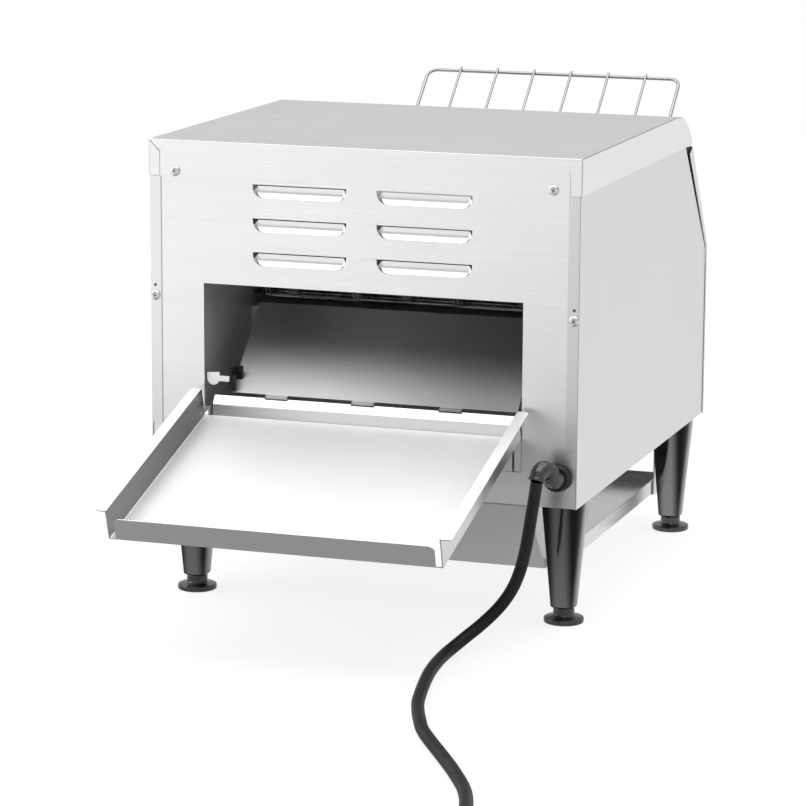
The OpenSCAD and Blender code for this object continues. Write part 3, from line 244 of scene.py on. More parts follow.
def make_chamber_steel(name):
    """Plain sheet inside the casing, straw and blue where heat has tinted it."""
    f = Finish(name)
    grain = f.noise(f.place((12, 700, 700)), 1.0, 3.0)
    cloud = f.noise(f.place(), 9.0, 3.0)
    plain = f.blend(grain, (0.54, 0.535, 0.53, 1), (0.62, 0.615, 0.61, 1))
    tint = f.blend(f.limit(cloud, 0.5, 0.8), plain, (0.56, 0.53, 0.48, 1))
    return f.surface(Base_Color=tint, Metallic=0.6, Roughness=grain * 0.2 + 0.36,
                     Normal=f.bump(grain, 0.08, 0.0003))


def make_reflector_steel(name):
    """Bright sheet over the tubes, yellowed in places."""
    f = Finish(name)
    grain = f.noise(f.place((10, 900, 900)), 1.0, 2.0)
    cloud = f.noise(f.place(), 20.0, 2.0)
    shade = f.blend(f.limit(cloud, 0.4, 0.7), (0.72, 0.72, 0.71, 1), (0.62, 0.58, 0.50, 1))
    return f.surface(Base_Color=shade, Metallic=1.0, Roughness=grain * 0.12 + 0.16)


def make_plated_wire(name):
    """Bright plated wire with faint drawing marks and duller weld spots."""
    f = Finish(name)
    marks = f.noise(f.place(), 900.0, 2.0)
    cloud = f.noise(f.place(), 45.0, 2.0)
    shade = f.blend(cloud, grey(0.30), grey(0.42))
    return f.surface(Base_Color=shade, Metallic=1.0, Roughness=marks * 0.14 + 0.16,
                     Normal=f.bump(marks, 0.05, 0.0002))


def make_belt_wire(name):
    """Steel wire with soot baked on in patches."""
    f = Finish(name)
    marks = f.noise(f.place(), 700.0, 2.0)
    soot = f.noise(f.place(), 60.0, 3.0)
    shade = f.blend(f.limit(soot, 0.42, 0.7), (0.80, 0.79, 0.77, 1), (0.42, 0.37, 0.31, 1))
    return f.surface(Base_Color=shade, Metallic=1.0, Roughness=marks * 0.2 + 0.2)


def make_turned_steel(name):
    """Turned steel, with tool rings along X."""
    f = Finish(name)
    rings = f.noise(f.place((1600, 30, 30)), 1.0, 2.0)
    shade = f.blend(rings, grey(0.42), (0.58, 0.58, 0.57, 1))
    return f.surface(Base_Color=shade, Metallic=1.0, Roughness=rings * 0.2 + 0.22,
                     Normal=f.bump(rings, 0.06, 0.0002))


def make_zinc(name):
    """Zinc plate with its spangle."""
    f = Finish(name)
    flakes = f.add("ShaderNodeTexVoronoi", {}, {"Vector": f.place(), "Scale": 420.0}, "Color")
    spangle = f.add("ShaderNodeRGBToBW", {}, {0: flakes})
    shade = f.blend(spangle, (0.60, 0.60, 0.58, 1), (0.76, 0.76, 0.73, 1))
    return f.surface(Base_Color=shade, Metallic=1.0, Roughness=spangle * 0.12 + 0.24)


def make_quartz(name):
    """Frosted quartz, slightly uneven."""
    f = Finish(name)
    cloud = f.noise(f.place((30, 260, 260)), 1.0, 3.0)
    shade = f.blend(cloud, (0.80, 0.78, 0.74, 1), (0.92, 0.91, 0.88, 1))
    return f.surface(Base_Color=shade, Roughness=cloud * 0.2 + 0.28, Alpha=cloud * 0.2 + 0.62)


def make_heater_wire(name):
    """Dark scaled wire inside the quartz tubes."""
    f = Finish(name)
    scale = f.noise(f.place(), 600.0, 2.0)
    shade = f.blend(scale, (0.10, 0.09, 0.08, 1), (0.26, 0.24, 0.22, 1))
    return f.surface(Base_Color=shade, Metallic=0.7, Roughness=scale * 0.2 + 0.45)


def make_ceramic(name):
    """Rough white ceramic, stained by heat."""
    f = Finish(name)
    fine = f.noise(f.place(), 900.0, 3.0)
    stain = f.noise(f.place(), 60.0, 2.0)
    shade = f.blend(f.limit(stain, 0.5, 0.75), (0.83, 0.80, 0.73, 1), (0.68, 0.62, 0.52, 1))
    return f.surface(Base_Color=shade, Roughness=fine * 0.12 + 0.62,
                     Normal=f.bump(fine, 0.12, 0.0003))


def make_bronze(name):
    """Porous bronze of the bushes."""
    f = Finish(name)
    pores = f.noise(f.place(), 1500.0, 2.0)
    shade = f.blend(pores, (0.30, 0.18, 0.08, 1), (0.62, 0.42, 0.22, 1))
    return f.surface(Base_Color=shade, Metallic=1.0, Roughness=pores * 0.2 + 0.3)


def moulded(colour, roughness, texture=0.12, lighter=1.35, gloss=0.3):
    """A recipe for plastic with a fine eroded texture and faint handling marks."""
    def make(name):
        f = Finish(name)
        spark = f.noise(f.place(), 1300.0, 3.0, 0.6)
        rub = f.noise(f.place(), 28.0, 3.0)
        shade = f.blend(f.limit(rub, 0.35, 0.75), tone(colour), tone(colour, lighter))
        return f.surface(Base_Color=shade, Roughness=(rub - 0.5) * 0.12 + spark * 0.08 + roughness,
                         Specular_IOR_Level=gloss, Normal=f.bump(spark, texture, 0.0002))
    return make


def make_leg_plastic_with_painted_sheen(name):
    """Black moulding with a painted sheen: its coat is glossy only in the middle of each face, so that
    a highlight band shows there and its corners mirror less.
    """
    f = Finish(name)
    rear, front = (sum(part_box("foot_" + end + "_right"), Vector()) / 2 for end in ("rear", "front"))
    across = f.add("ShaderNodeSeparateXYZ", {}, {0: f.place()})
    along = f.add("ShaderNodeSeparateXYZ", {}, {0: f.place()}, "Y")
    to_side = f.math("ABSOLUTE", f.math("ABSOLUTE", across) - abs(rear.x))
    to_end = f.math("MINIMUM", f.math("ABSOLUTE", along - rear.y), f.math("ABSOLUTE", along - front.y))
    # The painted sheen fades out between these distances from the middle of a face, in metres
    sheen_full_within, plain = 0.0025, 0.0105
    middle = 1 - f.limit(f.math("MINIMUM", to_side, to_end), sheen_full_within, plain)
    rub = f.noise(f.place(), 28.0, 3.0)
    shade = f.blend(rub, grey(0.006), (0.011, 0.011, 0.012, 1))
    return f.surface(Base_Color=shade, Roughness=rub * 0.06 + 0.2, Specular_IOR_Level=0.12,
                     Coat_Weight=middle * 0.95, Coat_IOR=2.7, Coat_Roughness=0.1)


def make_rubber(name):
    """Flexible lead sheath: slightly dusty, with fine lengthwise drag marks."""
    f = Finish(name)
    fine = f.noise(f.place(), 1400.0, 2.0)
    dust = f.noise(f.place(), 35.0, 3.0)
    shade = f.blend(f.limit(dust, 0.4, 0.75), grey(0.008), grey(0.014))
    return f.surface(Base_Color=shade, Roughness=fine * 0.12 + 0.3, Specular_IOR_Level=0.22,
                     Normal=f.bump(fine, 0.08, 0.0002))


def make_enamel(name):
    """Dark enamel with a slight orange peel."""
    f = Finish(name)
    peel = f.noise(f.place(), 260.0, 2.0)
    cloud = f.noise(f.place(), 30.0, 2.0)
    shade = f.blend(cloud, (0.11, 0.12, 0.125, 1), (0.17, 0.18, 0.19, 1))
    return f.surface(Base_Color=shade, Roughness=peel * 0.1 + 0.36,
                     Normal=f.bump(peel, 0.1, 0.0004))


def make_board_green(name):
    """Solder mask over a circuit board's tracks."""
    f = Finish(name)
    tracks = f.add("ShaderNodeTexVoronoi", {"distance": "MANHATTAN"},
                   {"Vector": f.place(), "Scale": 160.0}, "Distance")
    shade = f.blend(f.limit(tracks, 0.28, 0.34), (0.02, 0.20, 0.08, 1), (0.03, 0.29, 0.13, 1))
    return f.surface(Base_Color=shade, Roughness=tracks * 0.2 + 0.3)


def make_lens(name):
    """Amber lens of the signal lamp."""
    f = Finish(name)
    depth = f.noise(f.place(), 300.0, 2.0)
    shade = f.blend(depth, (0.70, 0.26, 0.02, 1), (0.85, 0.38, 0.05, 1))
    return f.surface(Base_Color=shade, Roughness=depth * 0.1 + 0.12, Coat_Weight=depth * 0.2 + 0.4)


def mark(dark, light):
    """A recipe for printed or moulded marks, between two greys; the dark grey also serves as painted
    shade in holes.
    """
    def make(name):
        f = Finish(name)
        fine = f.noise(f.place(), 900.0, 2.0)
        return f.surface(Base_Color=f.blend(fine, dark, light), Roughness=fine * 0.1 + 0.5)
    return make


RECIPES = {
    "stainless_x": ground_sheet("X"),
    "stainless_y": ground_sheet("Y"),
    "stainless_z": ground_sheet("Z", roughness=0.36),
    "tray_steel": ground_sheet("X", 1.12, roughness=0.52, streaks=0.03, fine=260.0, long=160.0,
                               metal=0.5, mottle=0.05),
    # Painted shade: the same matt sheet, made dark, on the tray's inward upright faces, where they
    # would mirror the dark opening
    "tray_side_steel": ground_sheet("Y", 0.27, roughness=0.4, streaks=0.03, fine=260.0, long=160.0,
                                    mottle=0.05),
    # Painted shade: a darker copy of the sheet on the diverter, painted darker still toward -X
    "diverter_steel": ground_sheet("X", 0.62, roughness=0.44, streaks=0.04, fine=320.0, long=60.0,
                                   mottle=0.05, shade=(-0.12, 0.06, 0.42)),
    # Painted shade: a dark copy of the sheet on folds, where they turn away from everything bright
    "fold_steel": ground_sheet("Z", 0.4, roughness=0.45),
    # Painted shade: a slightly darker copy of the sheet on the -X side panel's rear-facing strip
    "flap_steel": ground_sheet("X", 0.88, roughness=0.34),
    # Painted shade: a darker copy of the sheet on the return chute
    "chute_steel": ground_sheet("X", 0.58, roughness=0.36),
    # Painted light: a brighter copy of the sheet on the top cover's wide sideways faces
    "flange_steel": ground_sheet("Y", 1.2, roughness=0.4),
    "chamber_steel": make_chamber_steel,
    "reflector_steel": make_reflector_steel,
    "plated_wire": make_plated_wire,
    "belt_wire": make_belt_wire,
    "turned_steel": make_turned_steel,
    "zinc_plate": make_zinc,
    "frosted_quartz": make_quartz,
    "heater_wire": make_heater_wire,
    "unglazed_ceramic": make_ceramic,
    "sintered_bronze": make_bronze,
    "black_moulding": moulded((0.010, 0.010, 0.011), 0.22),
    "leg_moulding": make_leg_plastic_with_painted_sheen,
    "foot_moulding": moulded((0.008, 0.008, 0.008), 0.16, texture=0.04, gloss=1.0),
    "knob_moulding": moulded((0.012, 0.012, 0.012), 0.36, gloss=0.25),
    "grey_moulding": moulded((0.33, 0.34, 0.35), 0.45, lighter=1.1),
    "red_moulding": moulded((0.42, 0.015, 0.015), 0.18, texture=0.03, lighter=1.1),
    "lead_rubber": make_rubber,
    "dark_enamel": make_enamel,
    "board_green": make_board_green,
    "amber_lens": make_lens,
    "mark_white": mark((0.74, 0.74, 0.73, 1), (0.82, 0.82, 0.81, 1)),
    # Dark print on the dials, and painted shade in the screw recesses and pilot holes
    "mark_grey": mark(grey(0.05), grey(0.08)),
}


# ---------------------------------------------------------------- mesh building


def smooth(mesh, angle=32.0):
    """Shades a mesh smooth, except at edges sharper than angle."""
    mesh.polygons.foreach_set("use_smooth", [True] * len(mesh.polygons))
    mesh.set_sharp_from_angle(angle=math.radians(angle))
    mesh.update()


def register_piece(obj, material, body=ROOT, nodes=()):
    """Gives a finished object its material and body, and hides the CAD nodes it stands for."""
    obj.data.materials.clear()
    obj.data.materials.append(finish(material))
    if nodes:
        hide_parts(*nodes)
    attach(obj, body)
    return obj


def link(name, data):
    """Puts data into the scene as a new object."""
    obj = bpy.data.objects.new(name, data)
    bpy.context.scene.collection.objects.link(obj)
    return obj


def weigh_normals(obj):
    """Shades wide faces flat and leaves the rounding to the narrow faces at their edges."""
    modifier = obj.modifiers.new("weigh", "WEIGHTED_NORMAL")
    modifier.keep_sharp = True
    plain = obj.data
    graph = bpy.context.evaluated_depsgraph_get()
    obj.data = bpy.data.meshes.new_from_object(obj.evaluated_get(graph))
    obj.modifiers.remove(modifier)
    bpy.data.meshes.remove(plain)
    return obj


def piece(name, bm, material, body=ROOT, nodes=(), angle=32.0):
    """Turns a bmesh into a finished piece."""
    bmesh.ops.remove_doubles(bm, verts=bm.verts, dist=2e-6)
    bmesh.ops.recalc_face_normals(bm, faces=bm.faces)
    mesh = bpy.data.meshes.new(name)
    bm.to_mesh(mesh)
    bm.free()
    smooth(mesh, angle)
    return register_piece(weigh_normals(link(name, mesh)), material, body, nodes)


def paint(obj, material, wanted):
    """Gives the polygons for which wanted(polygon) holds a material of their own."""
    obj.data.materials.append(finish(material))
    for polygon in obj.data.polygons:
        if wanted(polygon):
            polygon.material_index = len(obj.data.materials) - 1


# A fold lies between faces wider than any cut edge; an inner fold between wide faces; in mm
CUT_EDGE = 2.2
WIDE_FACE = 8.0
SHARP = math.radians(25)


def face_width(face):
    """A face's area over its longest edge."""
    return face.calc_area() / max(edge.calc_length() for edge in face.edges)


def bevel_edges(bm, edges, width, segments):
    """Rounds the edges, or breaks them if segments is 1; width in mm."""
    if edges:
        bmesh.ops.bevel(bm, geom=edges, offset=width * MM, offset_type="OFFSET", segments=segments,
                        profile=0.5, affect="EDGES", clamp_overlap=True)


def corner_edges(bm, wanted):
    """Sharp edges for which wanted(edge) holds."""
    return [e for e in bm.edges
            if len(e.link_faces) == 2 and e.calc_face_angle(0) > SHARP and wanted(e)]


def is_fold(edge):
    """An outer edge between two faces that are both wider than a sheet is thick."""
    return edge.calc_face_angle_signed(0) > 0 and all(
        face_width(f) > CUT_EDGE * MM for f in edge.link_faces)


def is_inner_fold(edge):
    """An inner edge between two wide faces."""
    return edge.calc_face_angle_signed(0) < 0 and all(
        face_width(f) > WIDE_FACE * MM for f in edge.link_faces)


def node_copy(node):
    """A CAD node's mesh with its doubles merged and its flat faces joined."""
    bm = bmesh.new()
    bm.from_mesh(frame["nodes"][node].data)
    bmesh.ops.remove_doubles(bm, verts=bm.verts, dist=1e-6)
    bmesh.ops.dissolve_limit(bm, angle_limit=math.radians(0.4), verts=bm.verts, edges=bm.edges)
    return bm


def dress(node, material, fold=1.0, rim=0.22, name=None, before=None, angle=32.0):
    """A CAD node's own shape with rolled folds and softened sheet edges."""
    bm = node_copy(node)
    if before:
        before(bm)
    if fold:
        bevel_edges(bm, corner_edges(bm, is_fold), fold, 3)
    if rim:
        bevel_edges(bm, corner_edges(bm, lambda e: True), rim, 1)
    return piece(name or node + "_sheet", bm, material, BODY_OF[node], [node], angle)


def skin(bm, rings, caps=True):
    """Joins each ring of vertices to the next, and closes the ends."""
    for low, high in zip(rings, rings[1:]):
        for k in range(len(low)):
            n = (k + 1) % len(low)
            bm.faces.new((low[k], low[n], high[n], high[k]))
    if caps:
        bm.faces.new(rings[0][::-1])
        bm.faces.new(rings[-1])
    return bm


def lathe(profile, steps=48, centre=(0, 0, 0), axis="Z"):
    """Turns (radius, height) points in mm about an axis through centre."""
    bm = bmesh.new()
    turn = {"Z": Matrix.Identity(3), "X": Matrix(((0, 0, 1), (1, 0, 0), (0, 1, 0))),
            "Y": Matrix(((0, 1, 0), (0, 0, 1), (1, 0, 0))),
            "-Y": Matrix(((0, 1, 0), (0, 0, -1), (1, 0, 0)))}[axis]
    rings = []
    for radius, height in profile:
        ring = []
        for k in range(steps if radius > 0 else 1):
            a = 2 * math.pi * k / steps
            p = turn @ Vector((radius * math.cos(a), radius * math.sin(a), height))
            ring.append(bm.verts.new(at(*(p + Vector(centre)))))
        rings.append(ring)
    for low, high in zip(rings, rings[1:]):
        for k in range(steps):
            n = (k + 1) % steps
            corners = [low[k % len(low)], low[n % len(low)], high[n % len(high)], high[k % len(high)]]
            corners = list(dict.fromkeys(corners))
            if len(corners) > 2:
                bm.faces.new(corners)
    return bm


def merge(bm, other):
    """Adds another bmesh to bm and frees it."""
    mesh = bpy.data.meshes.new("joined")
    other.to_mesh(mesh)
    other.free()
    bm.from_mesh(mesh)
    bpy.data.meshes.remove(mesh)
    return bm


def about_zero(bm):
    """Moves a shape made round the casing's zero to the frame's zero, for scatter()."""
    for v in bm.verts:
        v.co.y -= MIDDLE_Y
    return bm


def sweep(points, radius, sides=16, caps=True):
    """A tube along row-frame points; radius in mm is a number or a list."""
    bm = bmesh.new()
    count = len(points)
    radii = radius if isinstance(radius, list) else [radius] * count
    rings, normal = [], None
    for i, p in enumerate(points):
        t = (points[min(i + 1, count - 1)] - points[max(i - 1, 0)]).normalized()
        if normal is None:
            normal = t.orthogonal().normalized()
        normal = (normal - t * normal.dot(t)).normalized()
        side = t.cross(normal)
        ring = [bm.verts.new(p + (normal * math.cos(2 * math.pi * k / sides)
                                  + side * math.sin(2 * math.pi * k / sides)) * radii[i] * MM)
                for k in range(sides)]
        rings.append(ring)
    return skin(bm, rings, caps)


def box_mesh(x, y, z, round_by=0.0, segments=2):
    """A block from its ranges in casing mm, its edges rounded."""
    bm = bmesh.new()
    bmesh.ops.create_cube(bm, size=1.0)
    lo, hi = at(x[0], y[0], z[0]), at(x[1], y[1], z[1])
    for v in bm.verts:
        v.co = Vector([lo[i] if v.co[i] < 0 else hi[i] for i in range(3)])
    if round_by:
        bevel_edges(bm, list(bm.edges), round_by, segments)
    return bm


def arc(cx, cy, radius, start, end, steps):
    """Points of an arc round (cx, cy), from start to end in degrees."""
    return [(cx + radius * math.cos(math.radians(start + (end - start) * k / steps)),
             cy + radius * math.sin(math.radians(start + (end - start) * k / steps)))
            for k in range(steps + 1)]


def eased(value, start, end):
    """Runs smoothly from 0 at start to 1 at end."""
    t = min(1.0, max(0.0, (value - start) / (end - start)))
    return t * t * (3 - 2 * t)


def rounded_box(x0, y0, x1, y1, r, steps=5):
    """The outline of a rectangle with round corners."""
    return (arc(x1 - r, y1 - r, r, 0, 90, steps) + arc(x0 + r, y1 - r, r, 90, 180, steps)
            + arc(x0 + r, y0 + r, r, 180, 270, steps) + arc(x1 - r, y0 + r, r, 270, 360, steps))


def plate(outlines, thickness, to_place, edge=0.15):
    """A flat plate from its outer outline and holes, in mm, set in place by to_place(u, v, w)."""
    curve = bpy.data.curves.new("plate", "CURVE")
    curve.dimensions = "2D"
    curve.fill_mode = "BOTH"
    curve.extrude = thickness / 2 - edge
    curve.bevel_depth = edge
    curve.bevel_resolution = 1
    curve.offset = -edge
    for outline in outlines:
        spline = curve.splines.new("POLY")
        spline.points.add(len(outline) - 1)
        spline.use_cyclic_u = True
        for point, (u, v) in zip(spline.points, outline):
            point.co = (u, v, 0, 1)
    obj = link("plate", curve)
    mesh = bpy.data.meshes.new_from_object(
        obj.evaluated_get(bpy.context.evaluated_depsgraph_get()))
    bm = bmesh.new()
    bm.from_mesh(mesh)
    bpy.data.objects.remove(obj)
    bpy.data.curves.remove(curve)
    bpy.data.meshes.remove(mesh)
    for v in bm.verts:
        v.co = to_place(*v.co)
    bmesh.ops.remove_doubles(bm, verts=bm.verts, dist=2e-6)
    return bm


# ---------------------------------------------------------------- geometry node building


class NodeTree:
    """A Geometry Nodes tree under construction, with named inputs."""

    def __init__(self, name, inputs):
        self.tree = bpy.data.node_groups.new(name, "GeometryNodeTree")
        face = self.tree.interface
        face.new_socket("Geometry", in_out="INPUT", socket_type="NodeSocketGeometry")
        for label, kind, value in inputs:
            socket = face.new_socket(label, in_out="INPUT", socket_type="NodeSocket" + kind)
            if value is not None:
                socket.default_value = value
        face.new_socket("Geometry", in_out="OUTPUT", socket_type="NodeSocketGeometry")
        self.given = self.tree.nodes.new("NodeGroupInput")

    def ask(self, label):
        """The tree's own input of that name."""
        return self.given.outputs[label]

    def add(self, kind, settings=None, values=None, out=0):
        """Adds a node and returns one of its outputs."""
        return new_node(self.tree, kind, settings, values).outputs[out]

    def close(self, geometry, material):
        """Makes copies real, gives them their material and ends the tree."""
        real = self.add("GeometryNodeRealizeInstances", {}, {0: geometry})
        painted = self.add("GeometryNodeSetMaterial", {}, {0: real, "Material": finish(material)})
        end = self.tree.nodes.new("NodeGroupOutput")
        self.tree.links.new(painted, end.inputs[0])
        return self.tree


def grow(name, tree, settings, material, body=ROOT, nodes=(), base=None, angle=32.0):
    """Runs a tree on a helper object and keeps the result as a plain mesh piece."""
    holder = link(name + "_holder", base or bpy.data.meshes.new(name + "_holder"))
    modifier = holder.modifiers.new("repeat", "NODES")
    modifier.node_group = tree
    sockets = {item.name: item.identifier for item in tree.interface.items_tree
               if item.in_out == "INPUT"}
    for label, value in settings.items():
        modifier[sockets[label]] = value
    graph = bpy.context.evaluated_depsgraph_get()
    mesh = bpy.data.meshes.new_from_object(holder.evaluated_get(graph))
    holder.modifiers.remove(modifier)
    bpy.data.objects.remove(holder)
    mesh.name = name
    smooth(mesh, angle)
    return register_piece(link(name, mesh), material, body, nodes)


def pattern_object(name, bm):
    """A hidden object that a tree copies; drop_pattern() removes it."""
    mesh = bpy.data.meshes.new(name)
    bmesh.ops.recalc_face_normals(bm, faces=bm.faces)
    bm.to_mesh(mesh)
    bm.free()
    obj = link(name, mesh)
    obj.hide_render = True
    return obj


def drop_pattern(obj):
    mesh = obj.data
    bpy.data.objects.remove(obj)
    bpy.data.meshes.remove(mesh)


def points_tree(name, material):
    """Copies a pattern to every vertex of the base mesh, turned by its attribute 'turn'."""
    t = NodeTree(name, [("Pattern", "Object", None), ("Scale", "Float", 1.0)])
    info = t.add("GeometryNodeObjectInfo", {"transform_space": "ORIGINAL"},
                 {"Object": t.ask("Pattern")}, "Geometry")
    turn = t.add("GeometryNodeInputNamedAttribute", {"data_type": "FLOAT_VECTOR"},
                 {"Name": "turn"}, 0)
    spin = t.add("FunctionNodeEulerToRotation", {}, {0: turn})
    copies = t.add("GeometryNodeInstanceOnPoints", {},
                   {"Points": t.ask("Geometry"), "Instance": info, "Rotation": spin,
                    "Scale": t.ask("Scale")})
    return t.close(copies, material)


def scatter(name, bm, places, material, body=ROOT, nodes=(), angle=32.0):
    """Copies a bmesh made round the frame's zero to places: (point, turn) pairs."""
    pattern = pattern_object(name + "_pattern", bm)
    base = bpy.data.meshes.new(name + "_places")
    base.from_pydata([p for p, _ in places], [], [])
    turns = base.attributes.new("turn", "FLOAT_VECTOR", "POINT")
    turns.data.foreach_set("vector", [part for _, turn in places for part in turn])
    tree = points_tree(name + "_tree", material)
    made = grow(name, tree, {"Pattern": pattern}, material, body, nodes, base, angle)
    drop_pattern(pattern)
    return made


# ---------------------------------------------------------------- settings


class ToasterSheet(bpy.types.PropertyGroup):
    """The sheet metal"""
    steel: FloatVectorProperty(name="Steel", description="Colour of the stainless sheet",
                               subtype="COLOR", size=3, min=0, max=1, default=(0.80, 0.80, 0.795))
    fold: FloatProperty(name="Fold radius", description="Outer radius of the folds, in mm",
                        default=1.0, min=0.4, max=1.5)
    rim: FloatProperty(name="Edge break", description="Bevel on cut edges, in mm",
                       default=0.2, min=0.05, max=0.3)
    louvre_corner: FloatProperty(name="Louvre corner", description="Corner radius, in mm",
                                 default=9.2, min=4, max=9.4)


class ToasterLead(bpy.types.PropertyGroup):
    """The mains lead's fittings"""
    ribs: IntProperty(name="Grip ribs", description="Ribs round the gland's nut",
                      default=20, min=12, max=28)


class ToasterStage(bpy.types.PropertyGroup):
    """The floor and the light"""
    floor: FloatVectorProperty(name="Floor", description="Colour of the floor", subtype="COLOR",
                               size=3, min=0, max=1, default=(0.86, 0.86, 0.86))
    overhead: FloatProperty(name="Overhead light", description="Power of the overhead light, in W",
                            default=24.0, min=0, max=400)
    side: FloatProperty(name="Side light", description="Power of the side light, in W",
                        default=12.0, min=0, max=400)
    room: FloatProperty(name="Room light", description="Strength of the light from all round",
                        default=0.8, min=0, max=3)
    whiten: FloatProperty(name="White floor", description="How far the floor is seen as plain white",
                          default=0.7, min=0, max=1)
    show_floor: BoolProperty(name="Floor", description="Whether the floor is there", default=True)


# ---------------------------------------------------------------- stage and camera

# The photograph's camera: its place in casing millimetres and its angles in radians
CAMERA_AT = (-918.2, 2811.0, 735.9)
CAMERA_YAW = 0.3267
CAMERA_PITCH = 0.19889
CAMERA_ROLL = 0.0056
SENSOR = 36.0
LENS = 154.96

FLOOR_HALF = 12.0
FLOOR_SEEN = 1.15
# The floor that sheet metal mirrors glows with painted light and painted shadow: its light, the
# painted shadow behind the machine, and the greys there, in front and behind; it grows white
# toward +X
MIRRORED_LIGHT = 1.36
MIRRORED_SHADOW_AT = (30, 520, 0)
MIRRORED_SHADOW = (0.25, 0.25, 0.255, 1)
IN_FRONT = grey(0.67)
BEHIND = grey(0.69)


class TOASTER_OT_stage(bpy.types.Operator):
    """Camera, floor, lights and background"""
    bl_idname = "toaster.stage"
    bl_label = "Stage"

    def execute(self, context):
        self.camera(context)
        self.floor(context)
        self.lights(context)
        context.scene.view_settings.view_transform = "Standard"
        return {"FINISHED"}

    def camera(self, context):
        data = bpy.data.cameras.new("view")
        data.lens = LENS
        data.sensor_width = SENSOR
        data.clip_start, data.clip_end = 0.05, 50
        cam = link("view", data)
        ahead = Vector((math.sin(CAMERA_YAW) * math.cos(CAMERA_PITCH),
                        -math.cos(CAMERA_YAW) * math.cos(CAMERA_PITCH), -math.sin(CAMERA_PITCH)))
        right = ahead.cross(Vector((0, 0, 1))).normalized()
        up = right.cross(ahead)
        c, s = math.cos(CAMERA_ROLL), math.sin(CAMERA_ROLL)
        right, up = right * c + up * s, up * c - right * s
        turn = Matrix((right, up, -ahead)).transposed()
        cam.matrix_world = Matrix.Translation(at(*CAMERA_AT)) @ turn.to_4x4()
        context.scene.camera = cam

    def floor(self, context):
        settings = context.scene.toaster_stage
        if not settings.show_floor:
            return
        bm = bmesh.new()
        bmesh.ops.create_grid(bm, x_segments=1, y_segments=1, size=FLOOR_HALF)
        mesh = bpy.data.meshes.new("floor")
        bm.to_mesh(mesh)
        bm.free()
        f = Finish("floor_paint")
        fleck = f.noise(f.place(), 60.0, 2.0)
        paint = f.blend(fleck, tone(settings.floor, 0.99), tone(settings.floor, 1.01))
        lit = f.add("ShaderNodeBsdfDiffuse", {}, {"Color": paint})
        white = f.add("ShaderNodeEmission", {}, {"Color": grey(1), "Strength": FLOOR_SEEN})
        seen = f.add("ShaderNodeLightPath", out="Is Camera Ray")
        mixed = f.add("ShaderNodeMixShader", {}, {0: seen * settings.whiten, 1: lit, 2: white})
        shiny = f.add("ShaderNodeLightPath", out="Is Glossy Ray")
        mixed = f.add("ShaderNodeMixShader", {}, {0: shiny, 1: mixed, 2: self.mirrored(f)})
        f.add("ShaderNodeOutputMaterial", {}, {"Surface": mixed})
        mesh.materials.append(f.owner)
        link("floor", mesh)

    def mirrored(self, f):
        """The floor as sheet metal mirrors it, a glow of uneven painted light with a painted shadow
        darkest close behind the machine.
        """
        where = f.add("ShaderNodeNewGeometry", out="Position")
        away = f.add("ShaderNodeVectorMath", {"operation": "DISTANCE"},
                     {0: where, 1: at(*MIRRORED_SHADOW_AT)}, "Value")
        across = f.add("ShaderNodeSeparateXYZ", {}, {0: where})
        along = f.add("ShaderNodeSeparateXYZ", {}, {0: where}, "Y")
        behind = f.blend(f.limit(across, 0.1, 0.75), BEHIND, grey(1))
        open_floor = f.blend(f.limit(along, -0.5, 0.1), IN_FRONT, behind)
        painted_glow = f.blend(f.limit(away, 0.12, 0.7), MIRRORED_SHADOW, open_floor)
        return f.add("ShaderNodeEmission", {}, {"Color": painted_glow, "Strength": MIRRORED_LIGHT})

    def lights(self, context):
        settings = context.scene.toaster_stage
        self.lamp("overhead", (0, 250, 1700), (0, 60, 200), (2.2, 2.2), settings.overhead)
        self.lamp("side", (1900, 900, 1100), (0, 0, 250), (1.2, 1.6), settings.side)
        f = Finish("room", "worlds")
        where = f.add("ShaderNodeTexCoord", out="Generated")
        up = f.add("ShaderNodeSeparateXYZ", {}, {0: where}, "Z")
        sky = f.add("ShaderNodeValToRGB", {"stops": ((0.0, (0.74, 0.74, 0.745, 1)), (0.9, grey(1)))},
                    {0: up})
        room = f.add("ShaderNodeBackground", {}, {"Color": sky, "Strength": settings.room})
        white = f.add("ShaderNodeBackground", {}, {"Color": grey(1)})
        seen = f.add("ShaderNodeLightPath", out="Is Camera Ray")
        mixed = f.add("ShaderNodeMixShader", {}, {0: seen, 1: room, 2: white})
        f.add("ShaderNodeOutputWorld", {}, {"Surface": mixed})
        context.scene.world = f.owner

    def lamp(self, name, place, aim, size, power):
        data = bpy.data.lights.new(name, "AREA")
        data.shape = "RECTANGLE"
        data.size, data.size_y = size
        data.energy = power
        obj = link(name, data)
        start, end = at(*place), at(*aim)
        obj.location = start
        obj.rotation_euler = (end - start).to_track_quat("-Z", "Y").to_euler()


# ---------------------------------------------------------------- casing

LOUVRE_HALF = 40.25
LOUVRE_H = 11.0
LOUVRE_DEEP = 3.0
LOUVRE_RAMP = 4.6
LOUVRE_END = 2.6
LOUVRE_SLIT = 1.5
LOUVRE_NICK = 5.5
LOUVRE_NICK_SLOPE = 0.9
LOUVRE_SHEET = 0.8
LOUVRE_SOFT = 0.2
LOUVRE_COLUMN = 53.25
LOUVRE_TOP = 353.6
LOUVRE_PITCH = 27.8
SHEET = 1.0
OPENING_HALF = 136.5
OPENING_LOW, OPENING_HIGH = 132.0, 270.0
GLAND = (-168.0, 131.0)
GLAND_HOLE = 9.1
# Screws and pilot hole on one half of the rear, as x and height; the other half mirrors them
SCREWS = ((160.7, 361.5), (179.0, 258.0))
SCREW_HEAD = 4.3
PILOT = (179.0, 266.5)
# Faces of the casing that get painted shade or painted light of their own, by area in square metres
FOLD_AREA = 6e-4
FLANGE_AREA = 1e-4


